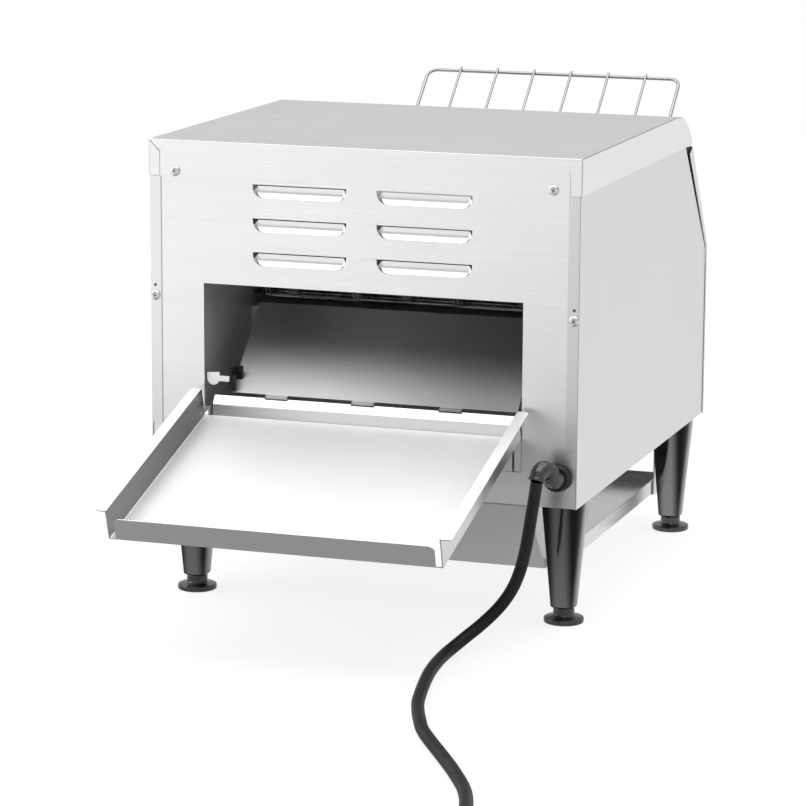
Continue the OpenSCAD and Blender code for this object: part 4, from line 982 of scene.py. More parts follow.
def louvre_outline(cx, top, r):
    """Straight along the top edge, round at the lower corners."""
    x0, x1, z0 = cx - LOUVRE_HALF, cx + LOUVRE_HALF, top - LOUVRE_H
    return ([(x1, top), (x0, top)] + arc(x0 + r, z0 + r, r, 180, 270, 6)
            + arc(x1 - r, z0 + r, r, 270, 360, 6))


def louvre_scoop(r):
    """The pressed-in tongue of one louvre, round the middle of its top edge, in metres.

    It slopes in from its lower edge and its ends, softly, and its upper corners are nicked.
    """
    bm = bmesh.new()
    columns, rows = 60, 18
    grid = []
    for j in range(rows + 1):
        up = (LOUVRE_H - LOUVRE_SLIT) * j / rows
        short = r - math.sqrt(r * r - (r - up) ** 2) if up < r else 0.0
        edge = LOUVRE_HALF - short
        reach = edge - LOUVRE_NICK_SLOPE * max(0.0, up - LOUVRE_NICK)
        row = []
        for i in range(columns + 1):
            u = 2 * i / columns - 1
            x = math.copysign(1 - (1 - abs(u)) ** 1.5, u) * reach
            ramp = min(up / LOUVRE_RAMP, (edge - abs(x)) / LOUVRE_END)
            if ramp > 1 - LOUVRE_SOFT:
                ramp = 1 - LOUVRE_SOFT * math.exp((1 - LOUVRE_SOFT - ramp) / LOUVRE_SOFT)
            depth = LOUVRE_DEEP * ramp
            row.append(bm.verts.new(Vector((x, -SHEET - depth, up - LOUVRE_H)) * MM))
        grid.append(row)
    for low, high in zip(grid, grid[1:]):
        for i in range(columns):
            bm.faces.new((low[i], low[i + 1], high[i + 1], high[i]))
    bmesh.ops.recalc_face_normals(bm, faces=bm.faces)
    if sum(f.normal.y for f in bm.faces) < 0:
        bmesh.ops.reverse_faces(bm, faces=bm.faces)
    bmesh.ops.solidify(bm, geom=bm.faces[:], thickness=LOUVRE_SHEET * MM)
    return bm


class TOASTER_OT_casing(bpy.types.Operator):
    """Cover, side panels, fascia, front panel and base"""
    bl_idname = "toaster.casing"
    bl_label = "Casing"

    def execute(self, context):
        sheet = context.scene.toaster_sheet
        made = {}
        for node, grain in (("top_cover", "x"), ("side_panel_right", "z"), ("side_panel_left", "z"),
                            ("front_fascia", "x"), ("front_panel", "x"), ("base_plate", "y")):
            made[node] = dress(node, "stainless_" + grain, sheet.fold, sheet.rim)
        # Painted shade on the folds that turn sideways
        for node in ("top_cover", "side_panel_right", "side_panel_left"):
            paint(made[node], "fold_steel", self.turns_sideways)
        # Painted light on the cover's wide sideways faces
        paint(made["top_cover"], "flange_steel",
              lambda p: abs(p.normal.x) > 0.95 and p.area > FLANGE_AREA)
        # Painted shade on the -X side panel's strip that faces back
        for node in ("side_panel_right", "side_panel_left"):
            paint(made[node], "flap_steel", lambda p: p.normal.y > 0.95 and p.center.x < 0)
        self.rear_panel(sheet)
        self.screws()
        return {"FINISHED"}

    @staticmethod
    def turns_sideways(polygon):
        """A narrow face of a fold between a side and the back or the top, given painted shade."""
        n = polygon.normal
        return 0.25 < abs(n.x) < 0.97 and n.y + n.z > 0.2 and polygon.area < FOLD_AREA

    def rear_panel(self, sheet):
        """Flat panel with its opening, gland hole and louvres, and the louvres' tongues."""
        lo, hi = node_mm("rear_panel")
        holes = [[(OPENING_HALF, OPENING_LOW), (OPENING_HALF, OPENING_HIGH),
                  (-OPENING_HALF, OPENING_HIGH), (-OPENING_HALF, OPENING_LOW)],
                 arc(*GLAND, GLAND_HOLE, 0, 350, 35)]
        places = []
        for row in range(3):
            for side in (-1, 1):
                top = LOUVRE_TOP - row * LOUVRE_PITCH
                holes.append(louvre_outline(side * LOUVRE_COLUMN, top, sheet.louvre_corner))
                places.append((at(side * LOUVRE_COLUMN, REAR - SHEET, top), (0, 0, 0)))
        outline = [(lo.x, lo.z), (hi.x, lo.z), (hi.x, hi.z), (lo.x, hi.z)]
        bm = plate([outline] + holes, SHEET, lambda u, v, w: at(u, REAR - 1.5 * SHEET + w, v))
        piece("rear_panel_sheet", bm, "stainless_x", ROOT, ["rear_panel"])
        scatter("louvre_tongues", louvre_scoop(sheet.louvre_corner), places, "stainless_x",
                ROOT, ["rear_panel"], 50)

    def screws(self):
        """Pan heads with a cross recess, each turned its own way, and the side screws' pilot holes;
        the recess and the holes are dark marks of painted shade.
        """
        head = [(0, -3), (1.9, -3), (1.9, 0), (SCREW_HEAD, 0), (SCREW_HEAD, 0.7), (3.9, 1.5),
                (3.0, 2.05), (2.35, 2.2), (0, 2.2)]
        cross = bmesh.new()
        for wide, high in ((2.1, 0.42), (0.42, 2.1)):
            merge(cross, box_mesh((-wide, wide), (2.0, 2.26), (-high, high), 0.1, 1))
        places = [(at(side * x, REAR, z), (0, 0.35 * side + k, 0))
                  for k, (x, z) in enumerate(SCREWS) for side in (-1, 1)]
        scatter("panel_screw_heads", about_zero(lathe(head, 32, axis="Y")), places, "zinc_plate",
                ROOT, ["panel_screws"], 40)
        # Painted shade: a dark cross where each recess is
        scatter("panel_screw_recesses", about_zero(cross), places, "mark_grey", ROOT, (), 40)
        # Painted shade: a dark disc where each pilot hole is
        painted_pilot_hole = lathe([(0, 0), (1.3, 0), (1.3, 0.06), (0, 0.06)], 20, axis="Y")
        pilots = [(at(side * PILOT[0], REAR, PILOT[1]), (0, 0, 0)) for side in (-1, 1)]
        scatter("panel_pilot_holes", about_zero(painted_pilot_hole), pilots, "mark_grey", ROOT,
                (), 40)


# ---------------------------------------------------------------- delivery: trays, diverter

LIP_HALF = 130.5
LIP_LOW = 112.0
LIP_CORNER = 5.0
FLANGE_CORNER = 3.0
TRAY_INNER_FOLD = 1.4
# An edge shorter than this runs across the sheet; one within NEAR of a place lies there
SHEET_EDGE = 1.5
NEAR = 0.01


class TOASTER_OT_delivery(bpy.types.Operator):
    """Outlet tray, sill, diverter, chute, return tray and hangers"""
    bl_idname = "toaster.delivery"
    bl_label = "Delivery"

    def execute(self, context):
        sheet = context.scene.toaster_sheet
        tray = dress("outlet_tray", "tray_steel", sheet.fold, sheet.rim, before=self.round_lip)
        paint(tray, "stainless_y", self.is_upright)
        # Painted shade on the inward faces of the tray's side walls
        paint(tray, "tray_side_steel", lambda p: self.is_upright(p) and self.faces_inward(p))
        for node, material in (("sill_strip", "stainless_x"), ("diverter_plate", "diverter_steel"),
                               ("return_chute", "chute_steel"), ("return_tray", "stainless_y"),
                               ("tray_hangers", "stainless_z"), ("rack_arms", "stainless_z")):
            dress(node, material, sheet.fold * 0.7, sheet.rim)
        self.lever()
        return {"FINISHED"}

    @staticmethod
    def is_upright(polygon):
        return polygon.normal.z <= 0.5

    @staticmethod
    def faces_inward(polygon):
        """Whether a face of a side wall looks toward the tray's middle."""
        return abs(polygon.normal.x) > 0.5 and polygon.normal.x * polygon.center.x < 0

    def round_lip(self, bm):
        """Rounds the inner folds, the lip's two upper corners and the flanges' outer corners."""
        outer = node_mm("outlet_tray")[1].x * MM
        bevel_edges(bm, corner_edges(bm, is_inner_fold), TRAY_INNER_FOLD, 3)
        across_sheet = [e for e in bm.edges if e.calc_length() < SHEET_EDGE * MM]
        lip = [e for e in across_sheet
               if abs(abs((e.verts[0].co.x + e.verts[1].co.x) / 2) - LIP_HALF * MM) < NEAR * MM
               and (e.verts[0].co.z + e.verts[1].co.z) / 2 > LIP_LOW * MM]
        bevel_edges(bm, lip, LIP_CORNER, 5)
        ends = [e for e in bm.edges if min(abs(v.co.x) for v in e.verts) > outer - NEAR * MM
                and e.calc_length() < SHEET_EDGE * MM]
        bevel_edges(bm, ends, FLANGE_CORNER, 4)

    def lever(self):
        """Half-round finger tab and the sprung clip that holds it to the plate."""
        lo, hi = node_mm("diverter_lever")
        x0, x1, y1, z0 = lo.x, hi.x, hi.y, lo.z
        round_end = arc(x1 - 5.5, z0 + 5.5, 5.5, -180, 0, 16) + [(x1, z0 + 10.4), (x1 - 11, z0 + 11)]
        neck = [(x0 + 1, z0 + 3.4), (x1 - 10, z0 + 3.4), (x1 - 10, z0 + 8), (x0 + 1, z0 + 8)]

        def on_plate(u, v, w):
            return at(u, y1 - 0.6 + w, v)
        tab = plate([round_end], 1.2, on_plate, 0.25)
        merge(tab, plate([neck], 1.0, on_plate, 0.2))
        piece("diverter_tab", tab, "tray_steel", "diverter", ["diverter_lever"])
        ridges = 5
        clip = box_mesh((x0 - 0.6, x0 + 3.2), (y1 - 16, y1 - 1.5), (z0 - 3, z0 + 14), 0.6)
        merge(clip, box_mesh((x0 - 6, x0 - 0.4), (y1 - 15, y1 - 12), (z0 + 4, z0 + 15), 0.6))
        merge(clip, box_mesh((x0 - 3.4, x0 + 1.2), (y1 - 5, y1 - 2), (z0 - 3, z0 + 9), 0.5))
        for k in range(ridges):
            y = y1 - 14.6 + k * 2.4
            merge(clip, box_mesh((x0 - 1.4, x0 + 3.6), (y, y + 1.2), (z0 + 1, z0 + 13.4), 0.3))
        piece("diverter_clip", clip, "knob_moulding", "diverter")
        turns, radius, wire = 7, 1.9, 0.4
        coil = [at(x0 + 4.6 + radius * math.cos(k * 0.5), y1 - 14 + k * 0.115,
                   z0 + 5 + radius * math.sin(k * 0.5)) for k in range(int(turns * 4 * math.pi))]
        piece("diverter_spring", sweep(coil, wire, 8), "plated_wire", "diverter")


# ---------------------------------------------------------------- chamber, belt and drive

BELT_FRONT = middle_mm("idler_shaft").y
BELT_REAR = middle_mm("drive_shaft").y
BELT_Z = middle_mm("drive_shaft").z
BELT_R = 13.0
BELT_HALF = 126.0
BELT_WIRES = 40
BELT_KINK = 3.2
BELT_STEP = 2.2
CROSS_WIRE_R = 1.0
# Each strand is two rings of wire; its distance from the middle is where the cross wires step
STRANDS = (44.5, 123.0)
STRAND_GAP = 1.6
STRAND_R = 0.7
TUBE_GROUPS = ("upper_quartz_tubes", "lower_quartz_tubes")
TUBE_R = 5.0
TUBE_PITCH = 70.0
TUBES = 3
# Radius and distance from the machine's middle, along one stepped ceramic end cap
CAP_PROFILE = ((5.05, 139.2), (7.4, 139.2), (8, 139.9), (8, 146), (7.2, 146.6), (7.2, 149.4),
               (8, 150), (8, 155.4), (7.3, 156.2), (3, 156.2), (3, 157.4), (1.5, 157.4),
               (1.5, 164), (1.2, 164.2), (0, 164.2))


def belt_centre_line(steps):
    """Points round the belt's loop, as (y, z)."""
    return (arc(BELT_REAR, BELT_Z, BELT_R, 90, -90, steps)
            + arc(BELT_FRONT, BELT_Z, BELT_R, 270, 90, steps))


def belt_place(s):
    """The belt's y and z, and how far it has turned, s mm round its loop from the front."""
    span, half_turn = BELT_REAR - BELT_FRONT, math.pi * BELT_R
    if s < span:
        return BELT_FRONT + s, BELT_Z + BELT_R, 0.0
    if span + half_turn <= s < 2 * span + half_turn:
        return BELT_REAR - (s - span - half_turn), BELT_Z - BELT_R, math.pi
    if s < span + half_turn:
        wheel, a = BELT_REAR, math.pi / 2 - (s - span) / BELT_R
    else:
        wheel, a = BELT_FRONT, 3 * math.pi / 2 - (s - 2 * span - half_turn) / BELT_R
    return wheel + BELT_R * math.cos(a), BELT_Z + BELT_R * math.sin(a), a - math.pi / 2


def link_wire():
    """One cross wire of the belt, with its stepped bends, along X about zero."""
    inner, outer = STRANDS
    points = [(-BELT_HALF, 0.0)]
    shift = 0.0
    for x in (-outer, -inner, inner, outer):
        points.append((x - BELT_KINK, shift))
        shift = BELT_STEP if shift == 0 else 0.0
        points.append((x + BELT_KINK, shift))
    points.append((BELT_HALF, shift))
    dense = []
    for (xa, ya), (xb, yb) in zip(points, points[1:]):
        parts = 6 if ya != yb else 3
        for k in range(parts):
            t = k / parts
            y = ya + (yb - ya) * eased(t, 0, 1) - BELT_STEP / 2
            dense.append(Vector((xa + (xb - xa) * t, y, 0)) * MM)
    dense.append(Vector((BELT_HALF, shift - BELT_STEP / 2, 0)) * MM)
    return sweep(dense, CROSS_WIRE_R, 8)


class TOASTER_OT_chamber(bpy.types.Operator):
    """Chamber walls, reflectors, quartz tubes and belt"""
    bl_idname = "toaster.chamber"
    bl_label = "Chamber and belt"

    def execute(self, context):
        for node in ("inner_wall_right", "inner_wall_left", "partition_plate", "heat_shield"):
            dress(node, "chamber_steel", 0.6, 0.15)
        for node in ("upper_reflector", "lower_reflector"):
            dress(node, "reflector_steel", 0.6, 0.15)
        self.tubes()
        self.belt()
        return {"FINISHED"}

    def tubes(self):
        """Quartz tubes with a coiled heater wire inside and stepped ceramic ends."""
        steps, step_turn, coil_r, wire = 900, 0.9, 2.4, 0.45
        caps = bmesh.new()
        for group in TUBE_GROUPS:
            lo, hi = node_mm(group)
            z = (lo.z + hi.z) / 2
            glass = [(TUBE_R - 1, lo.x), (TUBE_R, lo.x), (TUBE_R, hi.x), (TUBE_R - 1, hi.x),
                     (TUBE_R - 1, lo.x)]
            shell = bmesh.new()
            coils = bmesh.new()
            for y in [lo.y + TUBE_R + TUBE_PITCH * k for k in range(TUBES)]:
                merge(shell, lathe(glass, 32, (0, y, z), "X"))
                helix = [at(lo.x + 8 + (hi.x - lo.x - 16) * k / steps,
                            y + coil_r * math.cos(k * step_turn),
                            z + coil_r * math.sin(k * step_turn)) for k in range(steps + 1)]
                merge(coils, sweep(helix, wire, 5))
                for side in (-1, 1):
                    cap = lathe(CAP_PROFILE, 28, (0, y, z), "X")
                    for v in cap.verts:
                        v.co.x *= side
                    merge(caps, cap)
            piece(group + "_glass", shell, "frosted_quartz", ROOT, [group])
            piece(group + "_coils", coils, "heater_wire", ROOT)
        piece("ceramic_caps_stepped", caps, "unglazed_ceramic", ROOT,
              ["ceramic_end_caps"])

    def belt(self):
        """Cross wires with stepped bends, looped round the two wheels."""
        length = 2 * (BELT_REAR - BELT_FRONT + math.pi * BELT_R)
        places = []
        for i in range(BELT_WIRES):
            y, z, tilt = belt_place((i + 0.5) * length / BELT_WIRES)
            places.append((at(0, y, z), (tilt, 0, 0)))
        scatter("belt_cross_wires", link_wire(), places, "belt_wire", ROOT,
                ["conveyor_belt"], 60)
        strands = bmesh.new()
        for x in [side * middle + off for middle in STRANDS for side in (-1, 1)
                  for off in (-STRAND_GAP, STRAND_GAP)]:
            ring = [at(x, y, z) for y, z in belt_centre_line(28)]
            merge(strands, sweep(ring + ring[:1], STRAND_R, 8, caps=False))
        piece("belt_links", strands, "belt_wire", ROOT, ["conveyor_belt"], 60)
        dress("belt_rails", "turned_steel", 0.4, 0.2)


CHAIN_PITCH = 6.35
CHAIN_TEETH = 16
CHAIN_RUN = 16
CHAIN_LEAN = math.radians(25)
CHAIN_R = CHAIN_PITCH / 2 / math.sin(math.pi / CHAIN_TEETH)


def chain_point(s):
    """Roller place s pitches round the chain, in its own plane."""
    half, dist = CHAIN_TEETH / 2, CHAIN_RUN * CHAIN_PITCH
    turn = 2 * math.pi / CHAIN_TEETH
    s = s % (CHAIN_TEETH + 2 * CHAIN_RUN)
    if s <= half:
        return dist / 2 + CHAIN_R * math.sin(turn * s), CHAIN_R * math.cos(turn * s)
    if s <= half + CHAIN_RUN:
        return dist / 2 - (s - half) * CHAIN_PITCH, -CHAIN_R
    if s <= CHAIN_TEETH + CHAIN_RUN:
        a = turn * (s - half - CHAIN_RUN)
        return -dist / 2 - CHAIN_R * math.sin(a), -CHAIN_R * math.cos(a)
    return -dist / 2 + (s - CHAIN_TEETH - CHAIN_RUN) * CHAIN_PITCH, CHAIN_R


GEARBOX = 46.0
GEARBOX_SCREW = 22.0


class TOASTER_OT_drive(bpy.types.Operator):
    """Shafts, wheels, chain, gear motor, fan and wiring parts"""
    bl_idname = "toaster.drive"
    bl_label = "Drive and fan"

    def execute(self, context):
        for node, material, rim in (
                ("drive_shaft", "turned_steel", 0.5), ("idler_shaft", "turned_steel", 0.5),
                ("drive_belt_wheels", "turned_steel", 0.25),
                ("idler_belt_wheels", "turned_steel", 0.25), ("shaft_bushes", "sintered_bronze", 0.3),
                ("chain_wheel", "turned_steel", 0.2), ("motor_pinion", "turned_steel", 0.2),
                ("motor_bracket", "zinc_plate", 0.4), ("fan_housing", "black_moulding", 0.6),
                ("fan_impeller", "black_moulding", 0.25), ("terminal_block", "unglazed_ceramic", 0.5),
                ("safety_thermostat", "knob_moulding", 0.3), ("speed_board", "board_green", 0.3),
                ("speed_control", "grey_moulding", 0.4), ("heat_switch", "grey_moulding", 0.6)):
            dress(node, material, 0, rim, node + "_part")
        self.motor()
        self.chain()
        return {"FINISHED"}

    def motor(self):
        """Square gearbox with its screw heads, and the motor's can."""
        lo, hi = node_mm("gear_motor")
        y, z = (lo.y + hi.y) / 2, (lo.z + hi.z) / 2
        end = hi.x - GEARBOX
        body = box_mesh((end, hi.x), (lo.y, hi.y), (lo.z, hi.z), 2.0, 3)
        can = [(0, lo.x), (9, lo.x), (9, lo.x + 2), (24.5, lo.x + 2), (27, lo.x + 5),
               (27, lo.x + 16), (26.3, lo.x + 16.6), (26.3, lo.x + 18), (27, lo.x + 18.6),
               (27, end), (0, end)]
        merge(body, lathe(can, 48, (0, y, z), "X"))
        for dy in (-GEARBOX_SCREW, GEARBOX_SCREW):
            for dz in (-GEARBOX_SCREW, GEARBOX_SCREW):
                merge(body, lathe([(0, end - 3), (3, end - 3), (3, end), (0, end)],
                                  18, (0, y + dy, z + dz), "X"))
        piece("gear_motor_body", body, "dark_enamel", ROOT, ["gear_motor"])

    def chain(self):
        """Outer and inner link plates on rollers, each kind copied to its places."""
        middle = middle_mm("drive_chain")
        lean = math.pi / 2 - CHAIN_LEAN
        turn = Matrix.Rotation(lean, 3, "X")
        inner, outer = [], []
        for k in range(CHAIN_TEETH + 2 * CHAIN_RUN):
            u, v = chain_point(k)
            u2, v2 = chain_point(k + 1)
            middle_link = turn @ Vector((0, (u + u2) / 2, (v + v2) / 2)) + middle
            tilt = math.atan2(v2 - v, u2 - u) + lean
            (outer if k % 2 else inner).append((at(*middle_link), (tilt, 0, 0)))
        for name, places, wide in (("chain_inner_links", inner, 2.0),
                                   ("chain_outer_links", outer, 2.35)):
            scatter(name, self.one_link(wide), places, "turned_steel", ROOT,
                    ["drive_chain"], 40)

    def one_link(self, wide):
        """Two waisted plates on two rollers, about zero, the plates wide mm off the middle."""
        half = CHAIN_PITCH / 2
        plate_r, waist, thick, roller_r = 2.5, 1.7, 0.6, 1.6
        outline = (arc(half, 0, plate_r, -100, 100, 8) + [(0, waist)]
                   + arc(-half, 0, plate_r, 80, 280, 8) + [(0, -waist)])
        bm = bmesh.new()
        for side in (-1, 1):
            merge(bm, plate([outline], thick, lambda u, v, w: Vector((side * wide + w, u, v)) * MM,
                            0.1))
        for place in (-half, half):
            ends = [Vector((x, place, 0)) * MM for x in (-wide, wide)]
            merge(bm, sweep(ends, roller_r, 12))
        return bm


# ---------------------------------------------------------------- feed rack

RACK_TILT = math.radians(42.3)
RACK_TOP = (-335.0, 393.4)
RACK_HALF = 123.4
RACK_CORNER = 9.0
RACK_ROD = 1.6
RACK_LEN = 190.0
RACK_BAR = 76.0
RACK_WIRES = 6
RACK_PITCH = 36.3
RACK_WIRE_R = 1.2
RACK_WIRE_UP = 2.4
RACK_WIRE_ENDS = (-2.5, RACK_LEN + 1.0)


def rack_point(x, along, up=0.0):
    """A point of the rack: across, down its slope, and off its plane, in mm."""
    c, s = math.cos(RACK_TILT), math.sin(RACK_TILT)
    return at(x, RACK_TOP[0] + along * c + up * s, RACK_TOP[1] - along * s + up * c)


class TOASTER_OT_rack(bpy.types.Operator):
    """Wire feed rack"""
    bl_idname = "toaster.rack"
    bl_label = "Feed rack"

    def execute(self, context):
        r = RACK_CORNER
        rim = [(RACK_HALF, RACK_LEN - k * 12.0) for k in range(15)]
        rim += [(RACK_HALF - r + r * math.cos(a), r - r * math.sin(a))
                for a in [math.pi / 2 * k / 10 for k in range(11)]]
        rim = [rack_point(x, s) for x, s in rim] + [rack_point(-x, s) for x, s in reversed(rim)]
        frame_wire = sweep(rim, RACK_ROD, 16)
        for s in (RACK_BAR, RACK_LEN):
            bar = [rack_point(RACK_HALF * k / 8, s) for k in range(-8, 9)]
            merge(frame_wire, sweep(bar, RACK_ROD, 14))
        piece("feed_rack_frame", frame_wire, "plated_wire", "rack", ["feed_rack"], 60)
        start, end = RACK_WIRE_ENDS
        wire = sweep([rack_point(0, start + (end - start) * k / 20, RACK_WIRE_UP) - rack_point(0, 0)
                      for k in range(21)], RACK_WIRE_R, 12)
        places = [(rack_point((k - (RACK_WIRES - 1) / 2) * RACK_PITCH, 0), (0, 0, 0))
                  for k in range(RACK_WIRES)]
        scatter("feed_rack_wires", wire, places, "plated_wire", "rack", ["feed_rack"], 60)
        return {"FINISHED"}


# ---------------------------------------------------------------- legs and feet

LEG_TOP = 104.0
LEG_LOW = 13.5
LEG_BULGE = 0.075
LEG_CORNER = 0.7
# Height and width up the leg, and the radius and height of a levelling foot's outline
LEG_LEVELS = ((LEG_LOW, 19.6), (LEG_LOW + 0.8, 21.0), (30, 23.6), (60, 29.1), (90, 34.6),
              (100, 36.4), (LEG_TOP - 0.8, 37.0), (LEG_TOP, 36.2))
FOOT_PROFILE = ((0, 0), (15.2, 0), (16.2, 0.5), (16.5, 1.4), (16.5, 3.5), (16.1, 4.4),
                (15.2, 4.9), (10.6, 5.5), (9.3, 6.2), (8.75, 7.2), (8.75, 11.6), (8.3, 12.6),
                (4, 13), (4, 42.2), (3.4, 43), (0, 43))


def leg_section(width, bulge, corner, steps=9):
    """A square of four bowed sides that meet in tight corners, anticlockwise."""
    half = width / 2 - bulge
    points = []
    for k in range(4):
        for i in range(steps):
            t = i / steps
            along = -half + 2 * half * t
            out = half + bulge * (1 - (2 * t - 1) ** 2)
            if i == 0:
                along, out = -half + corner, half
            angle = math.pi / 2 * k
            c, s = math.cos(angle), math.sin(angle)
            points.append((out * c - along * s, out * s + along * c))
        points.append((half * c - (half - corner) * s, half * s + (half - corner) * c))
    return points


class TOASTER_OT_legs(bpy.types.Operator):
    """Tapered legs and levelling feet"""
    bl_idname = "toaster.legs"
    bl_label = "Legs and feet"

    def execute(self, context):
        legs = bmesh.new()
        for name in ("foot_rear_right", "foot_rear_left", "foot_front_right", "foot_front_left"):
            x, y, _ = middle_mm(name)
            merge(legs, self.leg(x, y))
            piece(name + "_pad", lathe(FOOT_PROFILE, 48, (x, y, 0)), "foot_moulding", name,
                  [name], 28)
        piece("leg_mouldings", legs, "leg_moulding", ROOT, ["legs"], 24)
        return {"FINISHED"}

    def leg(self, x, y):
        bm = bmesh.new()
        rings = []
        for z, width in LEG_LEVELS:
            section = leg_section(width, width * LEG_BULGE, LEG_CORNER)
            rings.append([bm.verts.new(at(x + u, y + v, z)) for u, v in section])
        skin(bm, rings)
        merge(bm, lathe([(0, LEG_TOP - 1), (13.5, LEG_TOP - 1), (13.5, BASE_Z), (0, BASE_Z)], 32,
                        (x, y, 0)))
        return bm


# ---------------------------------------------------------------- controls on the front

CONTROL_Z = middle_mm("speed_knob").z
SPEED_X = middle_mm("speed_knob").x
HEAT_X = middle_mm("heat_knob").x
LAMP_X = -37.2
ROCKER_X = middle_mm("rocker_bezel").x
KNOB_R = 19.0
KNOB_BACK = 1.0
KNOB_TALL = 19.0
KNOB_FLUTES = 16
GRIP_HALF = 14.2
DIAL_TURN = 270
# The rocker's moulded marks lie on its front face, which leans back at rest
ROCKER_TILT = math.radians(-12)


class TOASTER_OT_controls(bpy.types.Operator):
    """Knobs, dials, lamp and rocker switch"""
    bl_idname = "toaster.controls"
    bl_label = "Controls"

    def execute(self, context):
        self.knob("speed_knob", SPEED_X, "speed_dial")
        self.knob("heat_knob", HEAT_X, "heat_dial")
        self.dial("speed_dial_marks", SPEED_X, 11)
        self.dial("heat_dial_marks", HEAT_X, 4)
        lens = lathe([(0, -18), (5, -18), (5, 0), (6.5, 0), (6.5, 1.2), (6.1, 2.0), (4.9, 3.2),
                      (3.0, 3.8), (0, 4.0)], 40, (LAMP_X, FRONT, CONTROL_Z), "-Y")
        piece("signal_lamp_lens", lens, "amber_lens", ROOT, ["signal_lamp"])
        dress("rocker_bezel", "knob_moulding", 0, 0.35, "rocker_bezel_part")
        dress("power_rocker", "red_moulding", 0, 0.6, "power_rocker_part")
        self.rocker_marks()
        return {"FINISHED"}

    def knob(self, node, x, body):
        """Fluted skirt with a raised finger bar."""
        skirt = [(0, KNOB_BACK), (KNOB_R - 0.4, KNOB_BACK), (KNOB_R, KNOB_BACK + 0.4),
                 (KNOB_R, KNOB_BACK + 3.4), (KNOB_R - 0.7, KNOB_BACK + 4.0),
                 (15.4, KNOB_BACK + 4.4), (15.0, KNOB_BACK + 6), (14.8, 12), (14.2, 13), (0, 13)]
        bm = lathe(skirt, 64, (x, FRONT, CONTROL_Z), "-Y")
        for v in bm.verts:
            p = Vector((v.co.x / MM - x, 0, v.co.z / MM - CONTROL_Z))
            depth = (FRONT * MM + MIDDLE_Y - v.co.y) / MM
            if 14 < p.length < 15.6 and depth > KNOB_BACK + 4:
                wave = math.cos(KNOB_FLUTES * math.atan2(p.z, p.x))
                flute = 1 - 0.035 * (0.5 + 0.5 * wave)
                v.co.x = (x + p.x * flute) * MM
                v.co.z = (CONTROL_Z + p.z * flute) * MM
        face = FRONT - KNOB_TALL
        merge(bm, box_mesh((x - 4.3, x + 4.3), (face, FRONT - 12),
                           (CONTROL_Z - GRIP_HALF, CONTROL_Z + GRIP_HALF), 1.6, 4))
        merge(bm, lathe([(0, -10), (3, -10), (3, 1), (0, 1)], 24, (x, FRONT, CONTROL_Z), "-Y"))
        piece(node + "_moulding", bm, "knob_moulding", body, [node], 35)
        line = box_mesh((x - 0.5, x + 0.5), (face - 0.02, face + 0.5),
                        (CONTROL_Z + 3, CONTROL_Z + 12.5), 0.1, 1)
        piece(node + "_pointer", line, "mark_white", body)

    def dial(self, name, x, count):
        """Plain ticks round the knob, over three quarters of a turn."""
        tick = box_mesh((-0.45, 0.45), (-0.06, 0.03), (KNOB_R + 2.2, KNOB_R + 5.2))
        places = [(at(x, FRONT, CONTROL_Z), (0, math.radians(DIAL_TURN * k / (count - 1)), 0))
                  for k in range(count)]
        scatter(name, about_zero(tick), places, "mark_grey", ROOT)

    def rocker_marks(self):
        """A bar and a ring moulded in the rocker's two halves."""
        c, s = math.cos(ROCKER_TILT), math.sin(ROCKER_TILT)

        def on_face(u, v, w):
            y, z = -7.75 + 0.25 * (abs(v) - 5) - 0.02 + w, v
            return at(ROCKER_X + u, FRONT + 6 + y * c - z * s, CONTROL_Z + y * s + z * c)
        ring = [arc(0, -5.6, 2.1, 0, 345, 23), arc(0, -5.6, 1.2, 0, 345, 23)]
        marks = plate([rounded_box(-0.6, 3.6, 0.6, 7.6, 0.5)], 0.3, on_face, 0.05)
        merge(marks, plate(ring, 0.3, on_face, 0.05))
        piece("rocker_marks", marks, "mark_white", "power_switch")


# ---------------------------------------------------------------- mains lead

# Points in casing millimetres, listed as in the solids; angles of the coil in degrees
RELIEF_ROUTE = (
    (-168, 218, 131), (-166.7, 221.9, 132.9), (-165.5, 225.4, 136.3), (-164.1, 229.3, 140.3),
    (-162.4, 234.6, 141.6), (-160.7, 239.6, 139), (-159.8, 242.2, 133.4),
)
CORD_ROUTE = (
    (-159.8, 242.2, 133.4), (-158.2, 243, 120), (-156.3, 244, 106), (-154.6, 245.5, 92),
    (-152.6, 248, 77), (-149.7, 252, 62), (-144.9, 257, 48), (-137.1, 264, 35),
    (-126.3, 273, 23), (-115.8, 284, 13.5), (-109.5, 297, 7.8), (-107, 312, 5.4),
    (-108, 333, 5.1), (-111.3, 361, 5.1), (-117.5, 394, 5.1), (-127.6, 438, 5.1),
    (-136, 464, 5.1), (-145, 487, 5.1), (-155, 510, 5.1), (-170, 536, 5.1), (-189, 567, 5.1),
    (-209, 601, 5.1), (-229, 640, 5.1), (-243, 684, 5.1), (-251, 736, 5.1),
)
LEAD_DIAMETER = 10.0
COIL_CENTRE = (-202, 792)
COIL_DEGREES = 1170
COIL_OUTER = 55.1
COIL_INNER = 45.0
COIL_LOW = 5.1
COIL_HIGH = 15.2
PLUG_AT = (-176, 848, 20)
PLUG_LONG = 62
PIN_LONG = 19
PINS_APART = 19
# Radius and distance from the lead's end, along the plug
PLUG_PROFILE = ((0, 0), (4.9, 0), (5.6, 1.2), (5.2, 3), (5.8, 4.2), (5.4, 6), (6.1, 7.2),
                (5.7, 9), (6.5, 10.2), (6.1, 12), (6.9, 13.2), (6.9, 22), (8.6, 25), (13, 29),
                (17.5, 33), (19.2, 37), (20, 42), (20, 58.5), (19.2, 61), (17.8, PLUG_LONG),
                (0, PLUG_LONG))
RELIEF_THICK = 8.3
RELIEF_TAPER = 1.9
RELIEF_END = 5.2


